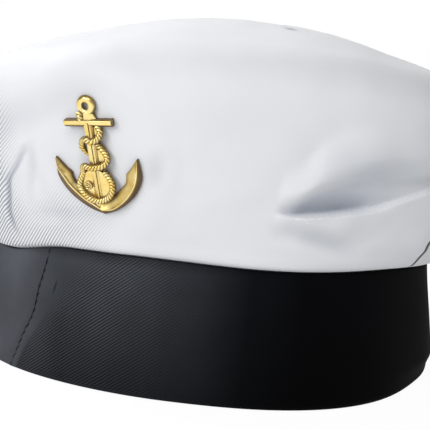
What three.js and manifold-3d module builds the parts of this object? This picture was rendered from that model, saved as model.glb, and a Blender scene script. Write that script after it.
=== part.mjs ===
// A naval-style sailor cap in millimetres, +Z up, standing on the lower edge of its band.
// The front, where the anchor badge sits, faces -Y, and +X is the wearer's left.
// Azimuths run in degrees from the front (0) towards the wearer's left (90) and round to 360.
import * as THREE from 'three';
import { mergeVertices } from 'three/addons/utils/BufferGeometryUtils.js';
import Module from 'manifold-3d';

const wasm = await Module();
wasm.setup();

// Driving dimensions of the band.
const bandLength = 184;
const bandWidth = 176;
const bandHeight = 40;
const bandWall = 2.6;
const bandFlare = 4;
const bandHem = 4;
const bandJoinAzimuth = -15;
const bandJoinSlant = 7;
const bandJoinWidth = 7;
const bandJoinRelief = 0.35;
const hemTuck = { azimuth: 88, length: 36, depth: 2.4, share: 0.16 };

// Driving dimensions of the crown.
const crownLength = 228;
const crownWidth = 219;
const crownHeight = 80;
const crownWall = 1.6;
const crownLean = 7;
const crownLeanAzimuth = 80;
const crownSaddle = 2.4;
const sideSeamAzimuth = 64.5;
const seamGroove = 0.7;
const seamGrooveWidth = 9;

// Driving dimensions of the badge, seen from in front of it, in its own plane.
const badgeHeight = 34.1;
const badgeWidth = 25.9;
const badgeRise = 27.5;
const badgeTurn = -1.7;
const badgeEdge = 0.8;
const badgeRidge = 2.1;
const ropeDiameter = 1.9;
const ringDiameter = 5.6;
const ringHole = 1.8;
const stockDiameter = 2.0;
const shankWidth = 2.5;
const postDiameter = 1.6;
const postLength = 6;
const clutchDiameter = 9;
const clutchThickness = 3;

// The clearance kept between neighbouring pieces.
const gap = 0.3;

// About how long the crown's section is from the band's edge to the middle of the top.
const sectionLength = crownHeight + crownWidth / 2;

// How finely the soft pieces are faceted.
const frontColumns = 48;
const backColumns = 32;
const sideRows = 22;
const topRows = 6;
const bandColumns = 60;
const bandJoinColumns = 4;

// The crown's section from the band's upper edge (along 0) to the middle of its top (along 1). hold is
// the share of the band's radius and reach the share of the crown's full radius that add up to the radius
// there, and up is a share of the crown's height.
const crownProfile = [
  { along: 0.000, hold: 1.00, reach: 0.00, up: 0.000 },
  { along: 0.014, hold: 0.85, reach: 0.15, up: 0.012 },
  { along: 0.040, hold: 0.75, reach: 0.25, up: 0.065 },
  { along: 0.110, hold: 0.52, reach: 0.48, up: 0.205 },
  { along: 0.200, hold: 0.22, reach: 0.78, up: 0.390 },
  { along: 0.294, hold: 0.00, reach: 1.00, up: 0.565 },
  { along: 0.327, hold: 0.00, reach: 0.987, up: 0.630 },
  { along: 0.362, hold: 0.00, reach: 0.95, up: 0.690 },
  { along: 0.408, hold: 0.00, reach: 0.888, up: 0.737 },
  { along: 0.472, hold: 0.00, reach: 0.80, up: 0.797 },
  { along: 0.560, hold: 0.00, reach: 0.67, up: 0.870 },
  { along: 0.682, hold: 0.00, reach: 0.49, up: 0.945 },
  { along: 0.827, hold: 0.00, reach: 0.27, up: 0.985 },
  { along: 1.000, hold: 0.00, reach: 0.00, up: 1.000 },
];

// Where the top panel is sewn on: rows of an azimuth and a place along the section. The front panel
// reaches over the crown's edge in the middle of the front.
const topSeamPath = [
  [-180, 0.445], [-75, 0.425], [-45, 0.385], [-30, 0.383], [-22, 0.412], [-14, 0.507], [-6, 0.590],
  [6, 0.645], [20, 0.655], [30, 0.614], [37, 0.590], [45, 0.557], [53, 0.520], [62, 0.458], [75, 0.445],
  [180, 0.445],
];

// Folds of the crown. Each crease follows a path whose rows are an azimuth, a place along the section and
// how strong the crease is there. depth is how deep the crease is, above and below how high the cloth swells
// on its two sides, all as shares of the crown's height, and reachAbove and reachBelow how far the swellings
// run along the section.
const crownFolds = [
  {
    name: 'main crease', depth: 0.040, above: 0.045, reachAbove: 0.130, below: 0.030, reachBelow: 0.068,
    path: [
      [26.5, 0.108, 0], [29, 0.106, 0.5], [33, 0.104, 1], [38.6, 0.110, 1], [44.8, 0.125, 0.85],
      [51, 0.144, 0.7], [58, 0.162, 0.6], [66, 0.175, 0.4], [80, 0.180, 0],
    ],
  },
  {
    name: 'upper branch', depth: 0.019, above: 0.015, reachAbove: 0.105, below: 0.008, reachBelow: 0.048,
    path: [
      [31, 0.128, 0], [36, 0.145, 0.6], [42, 0.162, 1], [50, 0.172, 1], [58, 0.180, 0.9], [70, 0.186, 0.5],
      [84, 0.190, 0],
    ],
  },
  {
    name: 'lower crease', depth: 0.012, above: 0.004, reachAbove: 0.053, below: 0.004, reachBelow: 0.053,
    path: [[24, 0.080, 0], [30, 0.076, 0.7], [37, 0.070, 1], [46, 0.062, 0.5], [58, 0.060, 0]],
  },
  {
    name: 'fold beside the ring', depth: 0.011, above: 0.005, reachAbove: 0.105, below: 0.005,
    reachBelow: 0.105,
    path: [
      [-44, 0.170, 0], [-30, 0.190, 0.5], [-18.6, 0.212, 0.8], [-8, 0.244, 1], [-1.2, 0.276, 0.6],
      [4, 0.290, 0],
    ],
  },
  {
    name: 'fold under the left fluke', depth: 0.006, above: 0.004, reachAbove: 0.063, below: 0.003,
    reachBelow: 0.063, path: [[-18, 0.066, 0], [-12, 0.071, 1], [-6, 0.077, 0.7], [2, 0.083, 0]],
  },
  {
    name: 'plain fold at the back', depth: 0.022, above: 0.016, reachAbove: 0.095, below: 0.010,
    reachBelow: 0.068,
    path: [[132, 0.130, 0], [148, 0.140, 0.7], [165, 0.150, 1], [180, 0.160, 0.7], [197, 0.170, 0]],
  },
  {
    name: 'plain fold on the wearer\'s right', depth: 0.024, above: 0.018, reachAbove: 0.095, below: 0.011,
    reachBelow: 0.068,
    path: [[-120, 0.140, 0], [-108, 0.130, 0.8], [-96, 0.120, 1], [-84, 0.105, 0.5], [-74, 0.095, 0]],
  },
];

// Shallow upright hollows of the crown's wall beside the badge. lean is how far each turns in degrees
// over the whole section, and depth a share of the crown's height.
const crownHollows = [
  { azimuth: -19.5, width: 4, from: 0.03, to: 0.19, lean: 62, depth: 0.016 },
  { azimuth: -13.3, width: 4, from: 0.08, to: 0.20, lean: 37, depth: 0.006 },
  { azimuth: 9, width: 4, from: 0.12, to: 0.19, lean: 10, depth: 0.008 },
];

// Broad swellings of the crown: the middle of each in degrees and along the section, its half length in
// degrees, how far it reaches below and above its middle, and its size as a share of the crown's height.
const crownSwellings = [
  { azimuth: 26, along: 0.60, length: 44, under: 0.25, over: 0.30, size: 0.0200 },
  { azimuth: -12, along: 0.54, length: 26, under: 0.20, over: 0.25, size: 0.0075 },
  { azimuth: -27, along: 0.39, length: 24, under: 0.16, over: 0.20, size: 0.0110 },
  { azimuth: 72, along: 0.065, length: 34, under: 0.065, over: 0.13, size: 0.0440 },
];

// Broad soft waves of the crown's wall: how many go round, their phase in degrees and their height
// as a share of the crown's height.
const crownWaves = [
  { count: 3, phase: 20, height: 0.006 },
  { count: 7, phase: 40, height: 0.005 },
];

// Where the seam between band and crown runs lower than the band's full height, in degrees and as
// a share of the band's height.
const bandDips = [
  { azimuth: -31, length: 22, drop: 0.085 },
  { azimuth: 32, length: 30, drop: 0.030 },
];

// Where the soft band swells out, at its upper and at its lower edge, as shares of its width.
const bandSwells = [
  { azimuth: 43, length: 31, upper: 0.008, lower: 0.020 },
  { azimuth: -2, length: 32, upper: 0.000, lower: -0.008 },
  { azimuth: 90, length: 36, upper: 0.002, lower: 0.009 },
];

// The corners of the band's rounded hem, from its flat foot outwards: how far in from the band's face and
// how far up from the foot, as shares of the wall.
const hemCorners = [
  { inset: 0.30, lift: 0.00 },
  { inset: 0.09, lift: 0.14 },
  { inset: 0.00, lift: 0.45 },
];

// One arm of the anchor from its tip to the middle of the casting: the outer edge, the ridge and the inner
// edge of each section, as shares of the badge's half-width (x) and of its height, up from its middle (y).
const armSections = [
  { outerX: 0.958, outerY: -0.001, ridgeX: 0.950, ridgeY: -0.012, innerX: 0.934, innerY: -0.012, rise: 0.35 },
  { outerX: 0.987, outerY: -0.070, ridgeX: 0.938, ridgeY: -0.077, innerX: 0.769, innerY: -0.087, rise: 0.80 },
  { outerX: 1.000, outerY: -0.145, ridgeX: 0.871, ridgeY: -0.145, innerX: 0.636, innerY: -0.144, rise: 1.00 },
  { outerX: 0.975, outerY: -0.190, ridgeX: 0.820, ridgeY: -0.185, innerX: 0.635, innerY: -0.165, rise: 1.00 },
  { outerX: 0.930, outerY: -0.231, ridgeX: 0.769, ridgeY: -0.222, innerX: 0.600, innerY: -0.210, rise: 1.00 },
  { outerX: 0.768, outerY: -0.324, ridgeX: 0.604, ridgeY: -0.300, innerX: 0.482, innerY: -0.256, rise: 1.00 },
  { outerX: 0.496, outerY: -0.413, ridgeX: 0.390, ridgeY: -0.373, innerX: 0.320, innerY: -0.315, rise: 1.00 },
  { outerX: 0.254, outerY: -0.465, ridgeX: 0.204, ridgeY: -0.413, innerX: 0.156, innerY: -0.355, rise: 1.00 },
  { outerX: 0.000, outerY: -0.495, ridgeX: 0.000, ridgeY: -0.440, innerX: 0.000, innerY: -0.365, rise: 1.00 },
];

// The rope's two lengths, as shares of the badge's half-width (x) and height (y), with lift the height of
// the rope's middle as a share of the ridge's height.
const ropeLengths = [
  [
    { x: 0.175, y: 0.262, lift: 0.5 },
    { x: 0.235, y: 0.213, lift: 0.6 },
    { x: 0.165, y: 0.160, lift: 0.9 },
    { x: 0.040, y: 0.146, lift: 1.2 },
    { x: -0.090, y: 0.160, lift: 1.0 },
    { x: -0.205, y: 0.138, lift: 0.6 },
    { x: -0.245, y: 0.094, lift: 0.5 },
    { x: -0.205, y: 0.053, lift: 0.45 },
    { x: -0.120, y: 0.018, lift: 0.35 },
  ],
  [
    { x: 0.100, y: 0.112, lift: 0.35 },
    { x: 0.200, y: 0.074, lift: 0.5 },
    { x: 0.290, y: 0.022, lift: 0.55 },
    { x: 0.290, y: -0.025, lift: 0.7 },
    { x: 0.185, y: -0.058, lift: 1.1 },
    { x: -0.030, y: -0.070, lift: 1.25 },
    { x: -0.240, y: -0.064, lift: 0.9 },
    { x: -0.305, y: -0.095, lift: 0.65 },
    { x: -0.325, y: -0.135, lift: 0.6 },
    { x: -0.400, y: -0.185, lift: 0.7 },
    { x: -0.430, y: -0.235, lift: 0.8 },
    { x: -0.360, y: -0.295, lift: 0.9 },
    { x: -0.205, y: -0.340, lift: 1.0 },
    { x: -0.010, y: -0.358, lift: 1.05 },
    { x: 0.200, y: -0.330, lift: 1.0 },
    { x: 0.330, y: -0.265, lift: 0.9 },
    { x: 0.325, y: -0.200, lift: 0.7 },
    { x: 0.240, y: -0.150, lift: 0.55 },
    { x: 0.150, y: -0.118, lift: 0.4 },
  ],
];
const ropeKnob = { x: -0.230, y: -0.223, lift: 0.8 };

const materials = {
  white_twill: new THREE.MeshStandardMaterial({ color: 0xe6e9f0, roughness: 0.92, metalness: 0 }),
  black_twill: new THREE.MeshStandardMaterial({ color: 0x17181b, roughness: 0.85, metalness: 0 }),
  gold_metal: new THREE.MeshStandardMaterial({ color: 0xd9a93a, roughness: 0.3, metalness: 1 }),
  steel: new THREE.MeshStandardMaterial({ color: 0xb0a890, roughness: 0.4, metalness: 1 }),
};

// Small helpers

const radians = THREE.MathUtils.degToRad;

function smoothstep(x) {
  const t = THREE.MathUtils.clamp(x, 0, 1);
  return t * t * (3 - 2 * t);
}

// A smooth bump that is 1 at x = 0 and reaches 0 at x = -1 and x = 1.
function bump(x) {
  return Math.abs(x) < 1 ? Math.cos((x * Math.PI) / 2) ** 2 : 0;
}

// The signed angle from one azimuth to another, between -180 and 180 degrees.
function turnBetween(azimuth, other) {
  return ((((azimuth - other + 180) % 360) + 360) % 360) - 180;
}

// The slope of a column between two rows of a table.
function rowSlope(low, high, column) {
  return (high[column] - low[column]) / (high.along - low.along);
}

// The value of a table's column at a place along it, passing through its rows without overshooting.
function follow(rows, column, along) {
  let index = 0;
  while (index < rows.length - 2 && along > rows[index + 1].along) index += 1;
  const slopeAt = (row) => {
    if (row === 0) return rowSlope(rows[0], rows[1], column);
    if (row === rows.length - 1) return rowSlope(rows[row - 1], rows[row], column);
    const before = rowSlope(rows[row - 1], rows[row], column);
    const after = rowSlope(rows[row], rows[row + 1], column);
    return before * after > 0 ? (2 * before * after) / (before + after) : 0;
  };
  const [from, to] = [rows[index], rows[index + 1]];
  const span = to.along - from.along;
  const t = THREE.MathUtils.clamp((along - from.along) / span, 0, 1);
  const ease = t * t * (3 - 2 * t);
  const leaving = t * (1 - t) ** 2 * slopeAt(index) * span;
  const arriving = t * t * (t - 1) * slopeAt(index + 1) * span;
  return from[column] * (1 - ease) + to[column] * ease + leaving + arriving;
}

// The radius at an azimuth of an oval of the given length (front to back) and width.
function ovalRadius(length, width, azimuth) {
  const angle = radians(azimuth);
  return (length * width) / 2 / Math.hypot(length * Math.sin(angle), width * Math.cos(angle));
}

function polar(azimuth, radius, height) {
  const angle = radians(azimuth);
  return new THREE.Vector3(radius * Math.sin(angle), -radius * Math.cos(angle), height);
}

// The outward normal of a surface given as a function of azimuth and a place along its section.
function surfaceNormal(surface, azimuth, along) {
  const turnStep = 1;
  const alongStep = 0.008;
  const low = Math.max(0, along - alongStep);
  const high = Math.min(0.98, along + alongStep);
  const round = surface(azimuth + turnStep, along).sub(surface(azimuth - turnStep, along));
  const up = surface(azimuth, high).sub(surface(azimuth, low));
  return round.cross(up).normalize();
}

function evenly(from, to, count) {
  return Array.from({ length: count + 1 }, (_, index) => from + ((to - from) * index) / count);
}

function meshGeometry(positions, faces) {
  const geometry = new THREE.BufferGeometry();
  geometry.setAttribute('position', new THREE.Float32BufferAttribute(positions, 3));
  geometry.setIndex(faces);
  return geometry;
}

// Builds a closed solid from an outer and an inner skin, which are lists of rows of points with the same
// number of columns. Skins that wrap go right round, and the others get closed ends. Where the skins meet
// in the middle, their last rows are closed by a fan each.
function closedSkin(outer, inner, wraps, meetsInMiddle) {
  const positions = [];
  const faces = [];
  const addPoint = (point) => {
    positions.push(point.x, point.y, point.z);
    return positions.length / 3 - 1;
  };
  const outerIds = outer.map((row) => row.map(addPoint));
  const innerIds = inner.map((row) => row.map(addPoint));
  const columns = outer[0].length;
  const last = wraps ? columns : columns - 1;
  const quad = (a, b, c, d) => faces.push(a, b, c, a, c, d);
  const addSheet = (ids, flip) => {
    for (let row = 0; row < ids.length - 1; row += 1) {
      for (let column = 0; column < last; column += 1) {
        const next = (column + 1) % columns;
        const corners = [ids[row][column], ids[row][next], ids[row + 1][next], ids[row + 1][column]];
        quad(...(flip ? corners.reverse() : corners));
      }
    }
  };
  const addRim = (low, high) => {
    for (let column = 0; column < last; column += 1) {
      const next = (column + 1) % columns;
      quad(low[column], low[next], high[next], high[column]);
    }
  };
  // Joins two upright edges with different numbers of points, walking up both together.
  const addEnd = (left, right) => {
    let i = 0;
    let j = 0;
    while (i < left.length - 1 || j < right.length - 1) {
      const leftNext = (i + 1) / (left.length - 1);
      const rightNext = (j + 1) / (right.length - 1);
      if (j === right.length - 1 || (i < left.length - 1 && leftNext <= rightNext)) {
        faces.push(left[i], right[j], left[i + 1]);
        i += 1;
      } else {
        faces.push(left[i], right[j], right[j + 1]);
        j += 1;
      }
    }
  };
  const addMiddle = (ids, rows, flip) => {
    const middle = new THREE.Vector3();
    rows.at(-1).forEach((point) => middle.addScaledVector(point, 1 / columns));
    const centre = addPoint(middle);
    ids.at(-1).forEach((id, column) => {
      const next = ids.at(-1)[(column + 1) % columns];
      faces.push(...(flip ? [next, id, centre] : [id, next, centre]));
    });
  };
  addSheet(outerIds, false);
  addSheet(innerIds, true);
  addRim(innerIds[0], outerIds[0]);
  if (meetsInMiddle) {
    addMiddle(outerIds, outer, false);
    addMiddle(innerIds, inner, true);
  } else {
    addRim(outerIds.at(-1), innerIds.at(-1));
  }
  if (!wraps) {
    addEnd(innerIds.map((row) => row[0]), outerIds.map((row) => row[0]));
    addEnd(outerIds.map((row) => row.at(-1)), innerIds.map((row) => row.at(-1)));
  }
  return meshGeometry(positions, faces);
}

// Joins a list of loops of points, each seen counter-clockwise from the end of the list, into a closed body.
function loft(loops) {
  const positions = loops.flatMap((loop) => loop.flatMap((point) => point.toArray()));
  const count = loops[0].length;
  const faces = [];
  for (let row = 0; row < loops.length - 1; row += 1) {
    for (let column = 0; column < count; column += 1) {
      const next = (column + 1) % count;
      const [a, b] = [row * count + column, row * count + next];
      faces.push(a, b, b + count, a, b + count, a + count);
    }
  }
  const top = (loops.length - 1) * count;
  for (let column = 1; column < count - 1; column += 1) {
    faces.push(0, column + 1, column);
    faces.push(top, top + column, top + column + 1);
  }
  return meshGeometry(positions, faces);
}

function asSolid(geometry) {
  const bare = geometry.clone();
  bare.deleteAttribute('normal');
  bare.deleteAttribute('uv');
  const merged = mergeVertices(bare, 1e-4);
  const vertProperties = new Float32Array(merged.attributes.position.array);
  const triVerts = new Uint32Array(merged.index.array);
  return new wasm.Manifold(new wasm.Mesh({ numProp: 3, vertProperties, triVerts }));
}

function asGeometry(solid) {
  const { vertProperties, triVerts } = solid.getMesh();
  const geometry = new THREE.BufferGeometry();
  geometry.setAttribute('position', new THREE.BufferAttribute(vertProperties, 3));
  geometry.setIndex(new THREE.BufferAttribute(triVerts, 1));
  return geometry;
}

function namedMesh(name, geometry, material) {
  geometry.computeVertexNormals();
  const mesh = new THREE.Mesh(geometry, material);
  mesh.name = name;
  return mesh;
}

// The band

// The height of the band's upper edge, which the crown's lower seam follows.
function bandTop(azimuth) {
  const drops = bandDips.map((dip) => dip.drop * bump(turnBetween(azimuth, dip.azimuth) / dip.length));
  return bandHeight * (1 - drops.reduce((sum, drop) => sum + drop, 0));
}

function bandSwelling(azimuth, share) {
  let swelling = 0;
  for (const swell of bandSwells) {
    const out = swell.lower + (swell.upper - swell.lower) * share;
    swelling += out * bandWidth * bump(turnBetween(azimuth, swell.azimuth) / swell.length);
  }
  return swelling;
}

// The swelling of the cloth beside the band's join, with the join itself a groove in its middle.
function joinRelief(azimuth, share) {
  const middle = bandJoinAzimuth - bandJoinSlant * (1 - share);
  const offset = radians(turnBetween(azimuth, middle)) * (bandWidth / 2);
  const swelling = bump(offset / bandJoinWidth) * (1 - 1.4 * bump(offset / (bandJoinWidth * 0.3)));
  return bandJoinRelief * swelling * smoothstep((1 - share) / 0.15) * smoothstep(share / 0.15);
}

// The band's outer radius at a share of its height, 1 at its upper edge.
function bandRadius(azimuth, share) {
  const flare = bandFlare * (1 - share) ** 1.3;
  const oval = ovalRadius(bandLength, bandWidth, azimuth);
  const nearTuck = bump(turnBetween(azimuth, hemTuck.azimuth) / hemTuck.length);
  const tucked = hemTuck.depth * nearTuck * smoothstep(1 - share / hemTuck.share);
  return oval + flare - tucked + bandSwelling(azimuth, share) + joinRelief(azimuth, share);
}

// The azimuths of the band's columns: even all round, with closer ones at the join.
function bandAzimuths() {
  const reach = (bandJoinWidth / (bandWidth / 2)) * (180 / Math.PI) + bandJoinSlant;
  const low = bandJoinAzimuth - bandJoinSlant / 2 - reach;
  const high = bandJoinAzimuth - bandJoinSlant / 2 + reach;
  const close = evenly(low, high, bandJoinColumns * 4);
  return [...close, ...evenly(high, low + 360, bandColumns - bandJoinColumns).slice(1, -1)];
}

// The band's section is a wall that stands on a rounded hem with a flat foot and ends level at the top.
function bandGeometry() {
  const azimuths = bandAzimuths();
  const row = (inset, share, lift) => azimuths.map((azimuth) =>
    polar(azimuth, bandRadius(azimuth, share) - inset, share * bandTop(azimuth) + lift));
  const outerRows = hemCorners.map((corner) => row(corner.inset * bandWall, 0, corner.lift * bandWall));
  outerRows.push(...[bandHem / bandHeight, hemTuck.share, 0.4, 0.7, 0.9, 1].map((share) => row(0, share, 0)));
  const [foot, , side] = hemCorners;
  const innerRows = [foot, side].map((corner) =>
    row((1 - corner.inset) * bandWall, 0, corner.lift * bandWall));
  innerRows.push(...[bandHem / bandHeight, hemTuck.share, 0.5, 1].map((share) => row(bandWall, share, 0)));
  return closedSkin(outerRows, innerRows, true, false);
}

// The crown

// Where the top seam lies along the section.
function topSeamAt(azimuth) {
  const rows = topSeamPath.map(([along, place]) => ({ along, place }));
  return follow(rows, 'place', turnBetween(azimuth, 0));
}

// How far from the top seam's middle a panel's edge lies along the section, so that half the gap is left
// square to the seam, which runs at a slant.
function seamSlack(azimuth) {
  const climb = (topSeamAt(azimuth + 1) - topSeamAt(azimuth - 1)) * sectionLength;
  const wayRound = radians(2) * 0.35 * crownWidth;
  return (gap / 2 / sectionLength) * Math.hypot(1, climb / wayRound);
}

// Where a fold's path runs at an azimuth: the place along the section and the fold's strength there.
function foldAt(fold, azimuth) {
  const rows = fold.path.map(([along, place, strength]) => ({ along, place, strength }));
  const middle = rows[Math.floor(rows.length / 2)].along;
  const turned = turnBetween(azimuth, middle) + middle;
  const inside = turned > rows[0].along && turned < rows.at(-1).along;
  return { place: follow(rows, 'place', turned), strength: inside ? follow(rows, 'strength', turned) : 0 };
}

// How far one fold moves the cloth outwards: a crease with a swelling above it and one below.
function foldHeight(fold, azimuth, along) {
  const { place, strength } = foldAt(fold, azimuth);
  const away = along - place;
  const creaseWidth = 0.45 * Math.min(fold.reachAbove, fold.reachBelow);
  const crease = -fold.depth * bump(away / creaseWidth);
  const above = away > 0 ? fold.above * bump((2 * away) / fold.reachAbove - 1) : 0;
  const below = away < 0 ? fold.below * bump((-2 * away) / fold.reachBelow - 1) : 0;
  return (crease + above + below) * strength;
}

function hollowHeight(hollow, azimuth, along) {
  const middle = (hollow.from + hollow.to) / 2;
  const turn = turnBetween(azimuth, hollow.azimuth) - hollow.lean * (along - middle);
  return -hollow.depth * bump(turn / hollow.width) * bump((2 * (along - middle)) / (hollow.to - hollow.from));
}

function swellingHeight(swelling, azimuth, along) {
  const reach = along < swelling.along ? swelling.under : swelling.over;
  const turn = turnBetween(azimuth, swelling.azimuth);
  return swelling.size * bump(turn / swelling.length) * bump((along - swelling.along) / reach);
}

// How far the folds, hollows, swellings, waves and sewn seams move the crown's cloth outwards.
function clothHeight(azimuth, along) {
  let height = 0;
  for (const fold of crownFolds) height += foldHeight(fold, azimuth, along);
  for (const hollow of crownHollows) height += hollowHeight(hollow, azimuth, along);
  for (const swelling of crownSwellings) height += swellingHeight(swelling, azimuth, along);
  const free = smoothstep(along / 0.15) * smoothstep((0.6 - along) / 0.3);
  for (const wave of crownWaves) {
    height += wave.height * free * Math.sin(radians(wave.count * azimuth + wave.phase));
  }
  const seamTurn = Math.min(
    Math.abs(turnBetween(azimuth, sideSeamAzimuth)),
    Math.abs(turnBetween(azimuth, -sideSeamAzimuth)),
  );
  const fromSideSeam = (radians(seamTurn) * crownWidth) / 2;
  const fromTopSeam = Math.abs(along - topSeamAt(azimuth)) * sectionLength;
  const sideGroove = seamGroove * bump(fromSideSeam / seamGrooveWidth) * smoothstep(along / 0.06);
  const topGroove = seamGroove * bump(fromTopSeam / seamGrooveWidth);
  return height * crownHeight - Math.max(along < topSeamAt(azimuth) ? sideGroove : 0, topGroove);
}

// The crown leans up towards the wearer's left, and hangs a little lower at both sides than front and back.
function leanAt(azimuth, spread, up) {
  const lean = crownLean * Math.cos(radians(turnBetween(azimuth, crownLeanAzimuth))) * spread * up;
  return lean + crownSaddle * Math.cos(2 * radians(azimuth)) * spread * spread * up;
}

// The crown's outer surface before the badge presses on it.
function looseCrown(azimuth, along) {
  const hold = follow(crownProfile, 'hold', along);
  const reach = follow(crownProfile, 'reach', along);
  const up = follow(crownProfile, 'up', along);
  const seatRadius = bandRadius(azimuth, 1) - bandWall / 2;
  const spread = Math.min(1, hold + reach);
  const swell = clothHeight(azimuth, along);
  const outward = smoothstep((0.62 - along) / 0.3);
  const fullRadius = ovalRadius(crownLength, crownWidth, azimuth);
  const radius = hold * seatRadius + reach * fullRadius + swell * outward;
  const seamHeight = bandHeight + (bandTop(azimuth) - bandHeight) * smoothstep((0.2 - along) / 0.2);
  const height = seamHeight + gap + crownHeight * up + leanAt(azimuth, spread, up) + swell * (1 - outward);
  return polar(azimuth, radius, height);
}

// The badge's own frame: its origin on the crown's front and its axes right, up and out of the cloth.
function badgeFrame() {
  let along = 0;
  while (along < topSeamAt(0) && looseCrown(0, along).z < bandHeight + badgeRise) along += 0.001;
  const pressedIn = (badgeWidth / 2) ** 2 / crownWidth;
  const above = looseCrown(0, along + 0.04);
  const below = looseCrown(0, along - 0.04);
  const up = above.sub(below).setX(0).normalize();
  const right = new THREE.Vector3(1, 0, 0);
  const out = right.clone().cross(up).normalize();
  right.applyAxisAngle(out, radians(-badgeTurn));
  up.applyAxisAngle(out, radians(-badgeTurn));
  const origin = looseCrown(0, along).addScaledVector(out, -pressedIn);
  return { origin, right, up, out };
}
const badgeSeat = badgeFrame();

// The crown's outer surface, pressed flat where the badge lies on it.
function crownSurface(azimuth, along) {
  const point = looseCrown(azimuth, along);
  const offset = point.clone().sub(badgeSeat.origin);
  const [across, upwards] = [offset.dot(badgeSeat.right), offset.dot(badgeSeat.up)];
  const standing = offset.dot(badgeSeat.out);
  const nearInPlane = smoothstep((0.95 - Math.hypot(across / badgeWidth, upwards / badgeHeight)) / 0.38);
  const pressed = nearInPlane * smoothstep(3 - Math.abs(standing) / (badgeHeight / 8));
  return point.addScaledVector(badgeSeat.out, -standing * pressed);
}

function innerPoint(azimuth, along) {
  const normal = surfaceNormal(crownSurface, azimuth, along);
  if (along === 0) normal.setZ(0).normalize();
  return crownSurface(azimuth, along).addScaledVector(normal, -crownWall);
}

// Where the row of points that follows the main crease runs along the section: outside the crease it
// comes back gently to the height of the crease's first place.
function creaseRowAt(azimuth) {
  const fold = crownFolds[0];
  const [first, last] = [fold.path[0], fold.path.at(-1)];
  const middle = (first[0] + last[0]) / 2;
  const turn = turnBetween(azimuth, middle);
  const { place } = foldAt(fold, THREE.MathUtils.clamp(middle + turn, first[0], last[0]));
  return first[1] + (place - first[1]) * smoothstep((180 - Math.abs(turn)) / 120);
}

// The place along the section of a row of the side wall, from 0 at the band to 1 at the top seam. One row
// follows the main crease and the others lie closer together near it.
function sidePlace(azimuth, row, rows, top) {
  const crease = creaseRowAt(azimuth);
  const creaseRow = Math.round(rows * 0.41);
  if (row <= creaseRow) return crease * (row / creaseRow) ** 0.85;
  const above = (row - creaseRow) / (rows - creaseRow);
  return crease + (top - crease) * above ** 1.25;
}

// One panel of the crown's side wall up to the top seam, from the azimuths of its columns.
function sidePanelGeometry(azimuths) {
  const rowsOf = (count, pointAt) => evenly(0, count, count).map((row) => azimuths.map((azimuth) =>
    pointAt(azimuth, sidePlace(azimuth, row, count, topSeamAt(azimuth) - seamSlack(azimuth)))));
  return closedSkin(rowsOf(sideRows, crownSurface), rowsOf(sideRows / 2, innerPoint), false, false);
}

// The top panel has a column above each column of the side panels, so that their edges run together.
function topPanelGeometry(azimuths) {
  const placeAt = (azimuth, step) => {
    const start = topSeamAt(azimuth) + 2.4 * seamSlack(azimuth);
    return start + (0.93 - start) * step;
  };
  const rows = (count, pointAt) => evenly(0, 1, count)
    .map((step) => azimuths.map((azimuth) => pointAt(azimuth, placeAt(azimuth, step))));
  return closedSkin(rows(topRows, crownSurface), rows(topRows / 2, innerPoint), true, true);
}

// The badge, in its own plane: x to the wearer's left, y up the cloth and z out of it

const half = badgeWidth / 2;

function armGeometry(side) {
  const loops = armSections.map((section) => {
    const at = (x, y, z) => new THREE.Vector3(side * x * half, y * badgeHeight, z);
    const ridge = badgeEdge + (badgeRidge - badgeEdge) * section.rise;
    return [
      at(section.outerX, section.outerY, 0),
      at(section.outerX, section.outerY, badgeEdge * 0.6),
      at(section.ridgeX, section.ridgeY, ridge),
      at(section.innerX, section.innerY, badgeEdge),
      at(section.innerX, section.innerY, 0),
    ];
  });
  return loft(side < 0 ? loops.map((loop) => loop.reverse()) : loops);
}

// A bar along X or Y with a section given by its corners.
function barGeometry(from, to, corners) {
  const direction = to.clone().sub(from).normalize();
  const across = new THREE.Vector3(0, 0, 1).cross(direction);
  const place = (end, scale) => corners.map(([sideways, rise]) =>
    end.clone().addScaledVector(across, sideways * scale).setZ(rise));
  return { place, loops: (startScale, endScale) => [place(from, startScale), place(to, endScale)] };
}

function stockGeometry() {
  const radius = stockDiameter / 2;
  const y = 0.288 * badgeHeight;
  const length = 0.565 * half;
  const corners = [[-1, 0], [1, 0], [1, 1.5], [0.45, 2.7], [-0.45, 2.7], [-1, 1.5]]
    .map(([sideways, rise]) => [sideways * radius, rise * radius]);
  const bar = barGeometry(new THREE.Vector3(-length, y, 0), new THREE.Vector3(length, y, 0), corners);
  return loft(bar.loops(1, 1));
}

function shankGeometry() {
  const top = new THREE.Vector3(-0.005 * half, 0.29 * badgeHeight, 0);
  const bottom = new THREE.Vector3(-0.015 * half, -0.330 * badgeHeight, 0);
  const corners = [[-0.5, 0], [0.5, 0], [0.5, 1.3], [-0.18, badgeRidge + 0.3], [-0.5, 1.0]]
    .map(([sideways, rise]) => [sideways * shankWidth, rise]);
  const bar = barGeometry(bottom, top, corners);
  return loft(bar.loops(1.1, 1));
}

function collarGeometry() {
  const low = new THREE.Vector3(-0.02 * half, 0.300 * badgeHeight, 0);
  const high = new THREE.Vector3(-0.02 * half, 0.375 * badgeHeight, 0);
  const corners = [[-1, 0], [1, 0], [1, 0.8], [0.4, 1.6], [-0.4, 1.6], [-1, 0.8]]
    .map(([sideways, rise]) => [sideways * 0.215 * half, rise]);
  return loft(barGeometry(low, high, corners).loops(1, 0.5));
}

function ringGeometry() {
  const tube = (ringDiameter - ringHole) / 4;
  const ring = new THREE.TorusGeometry(ringHole / 2 + tube, tube, 8, 20);
  ring.translate(-0.015 * half, badgeHeight / 2 - ringDiameter / 2, tube * 0.95);
  return ring;
}

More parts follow.
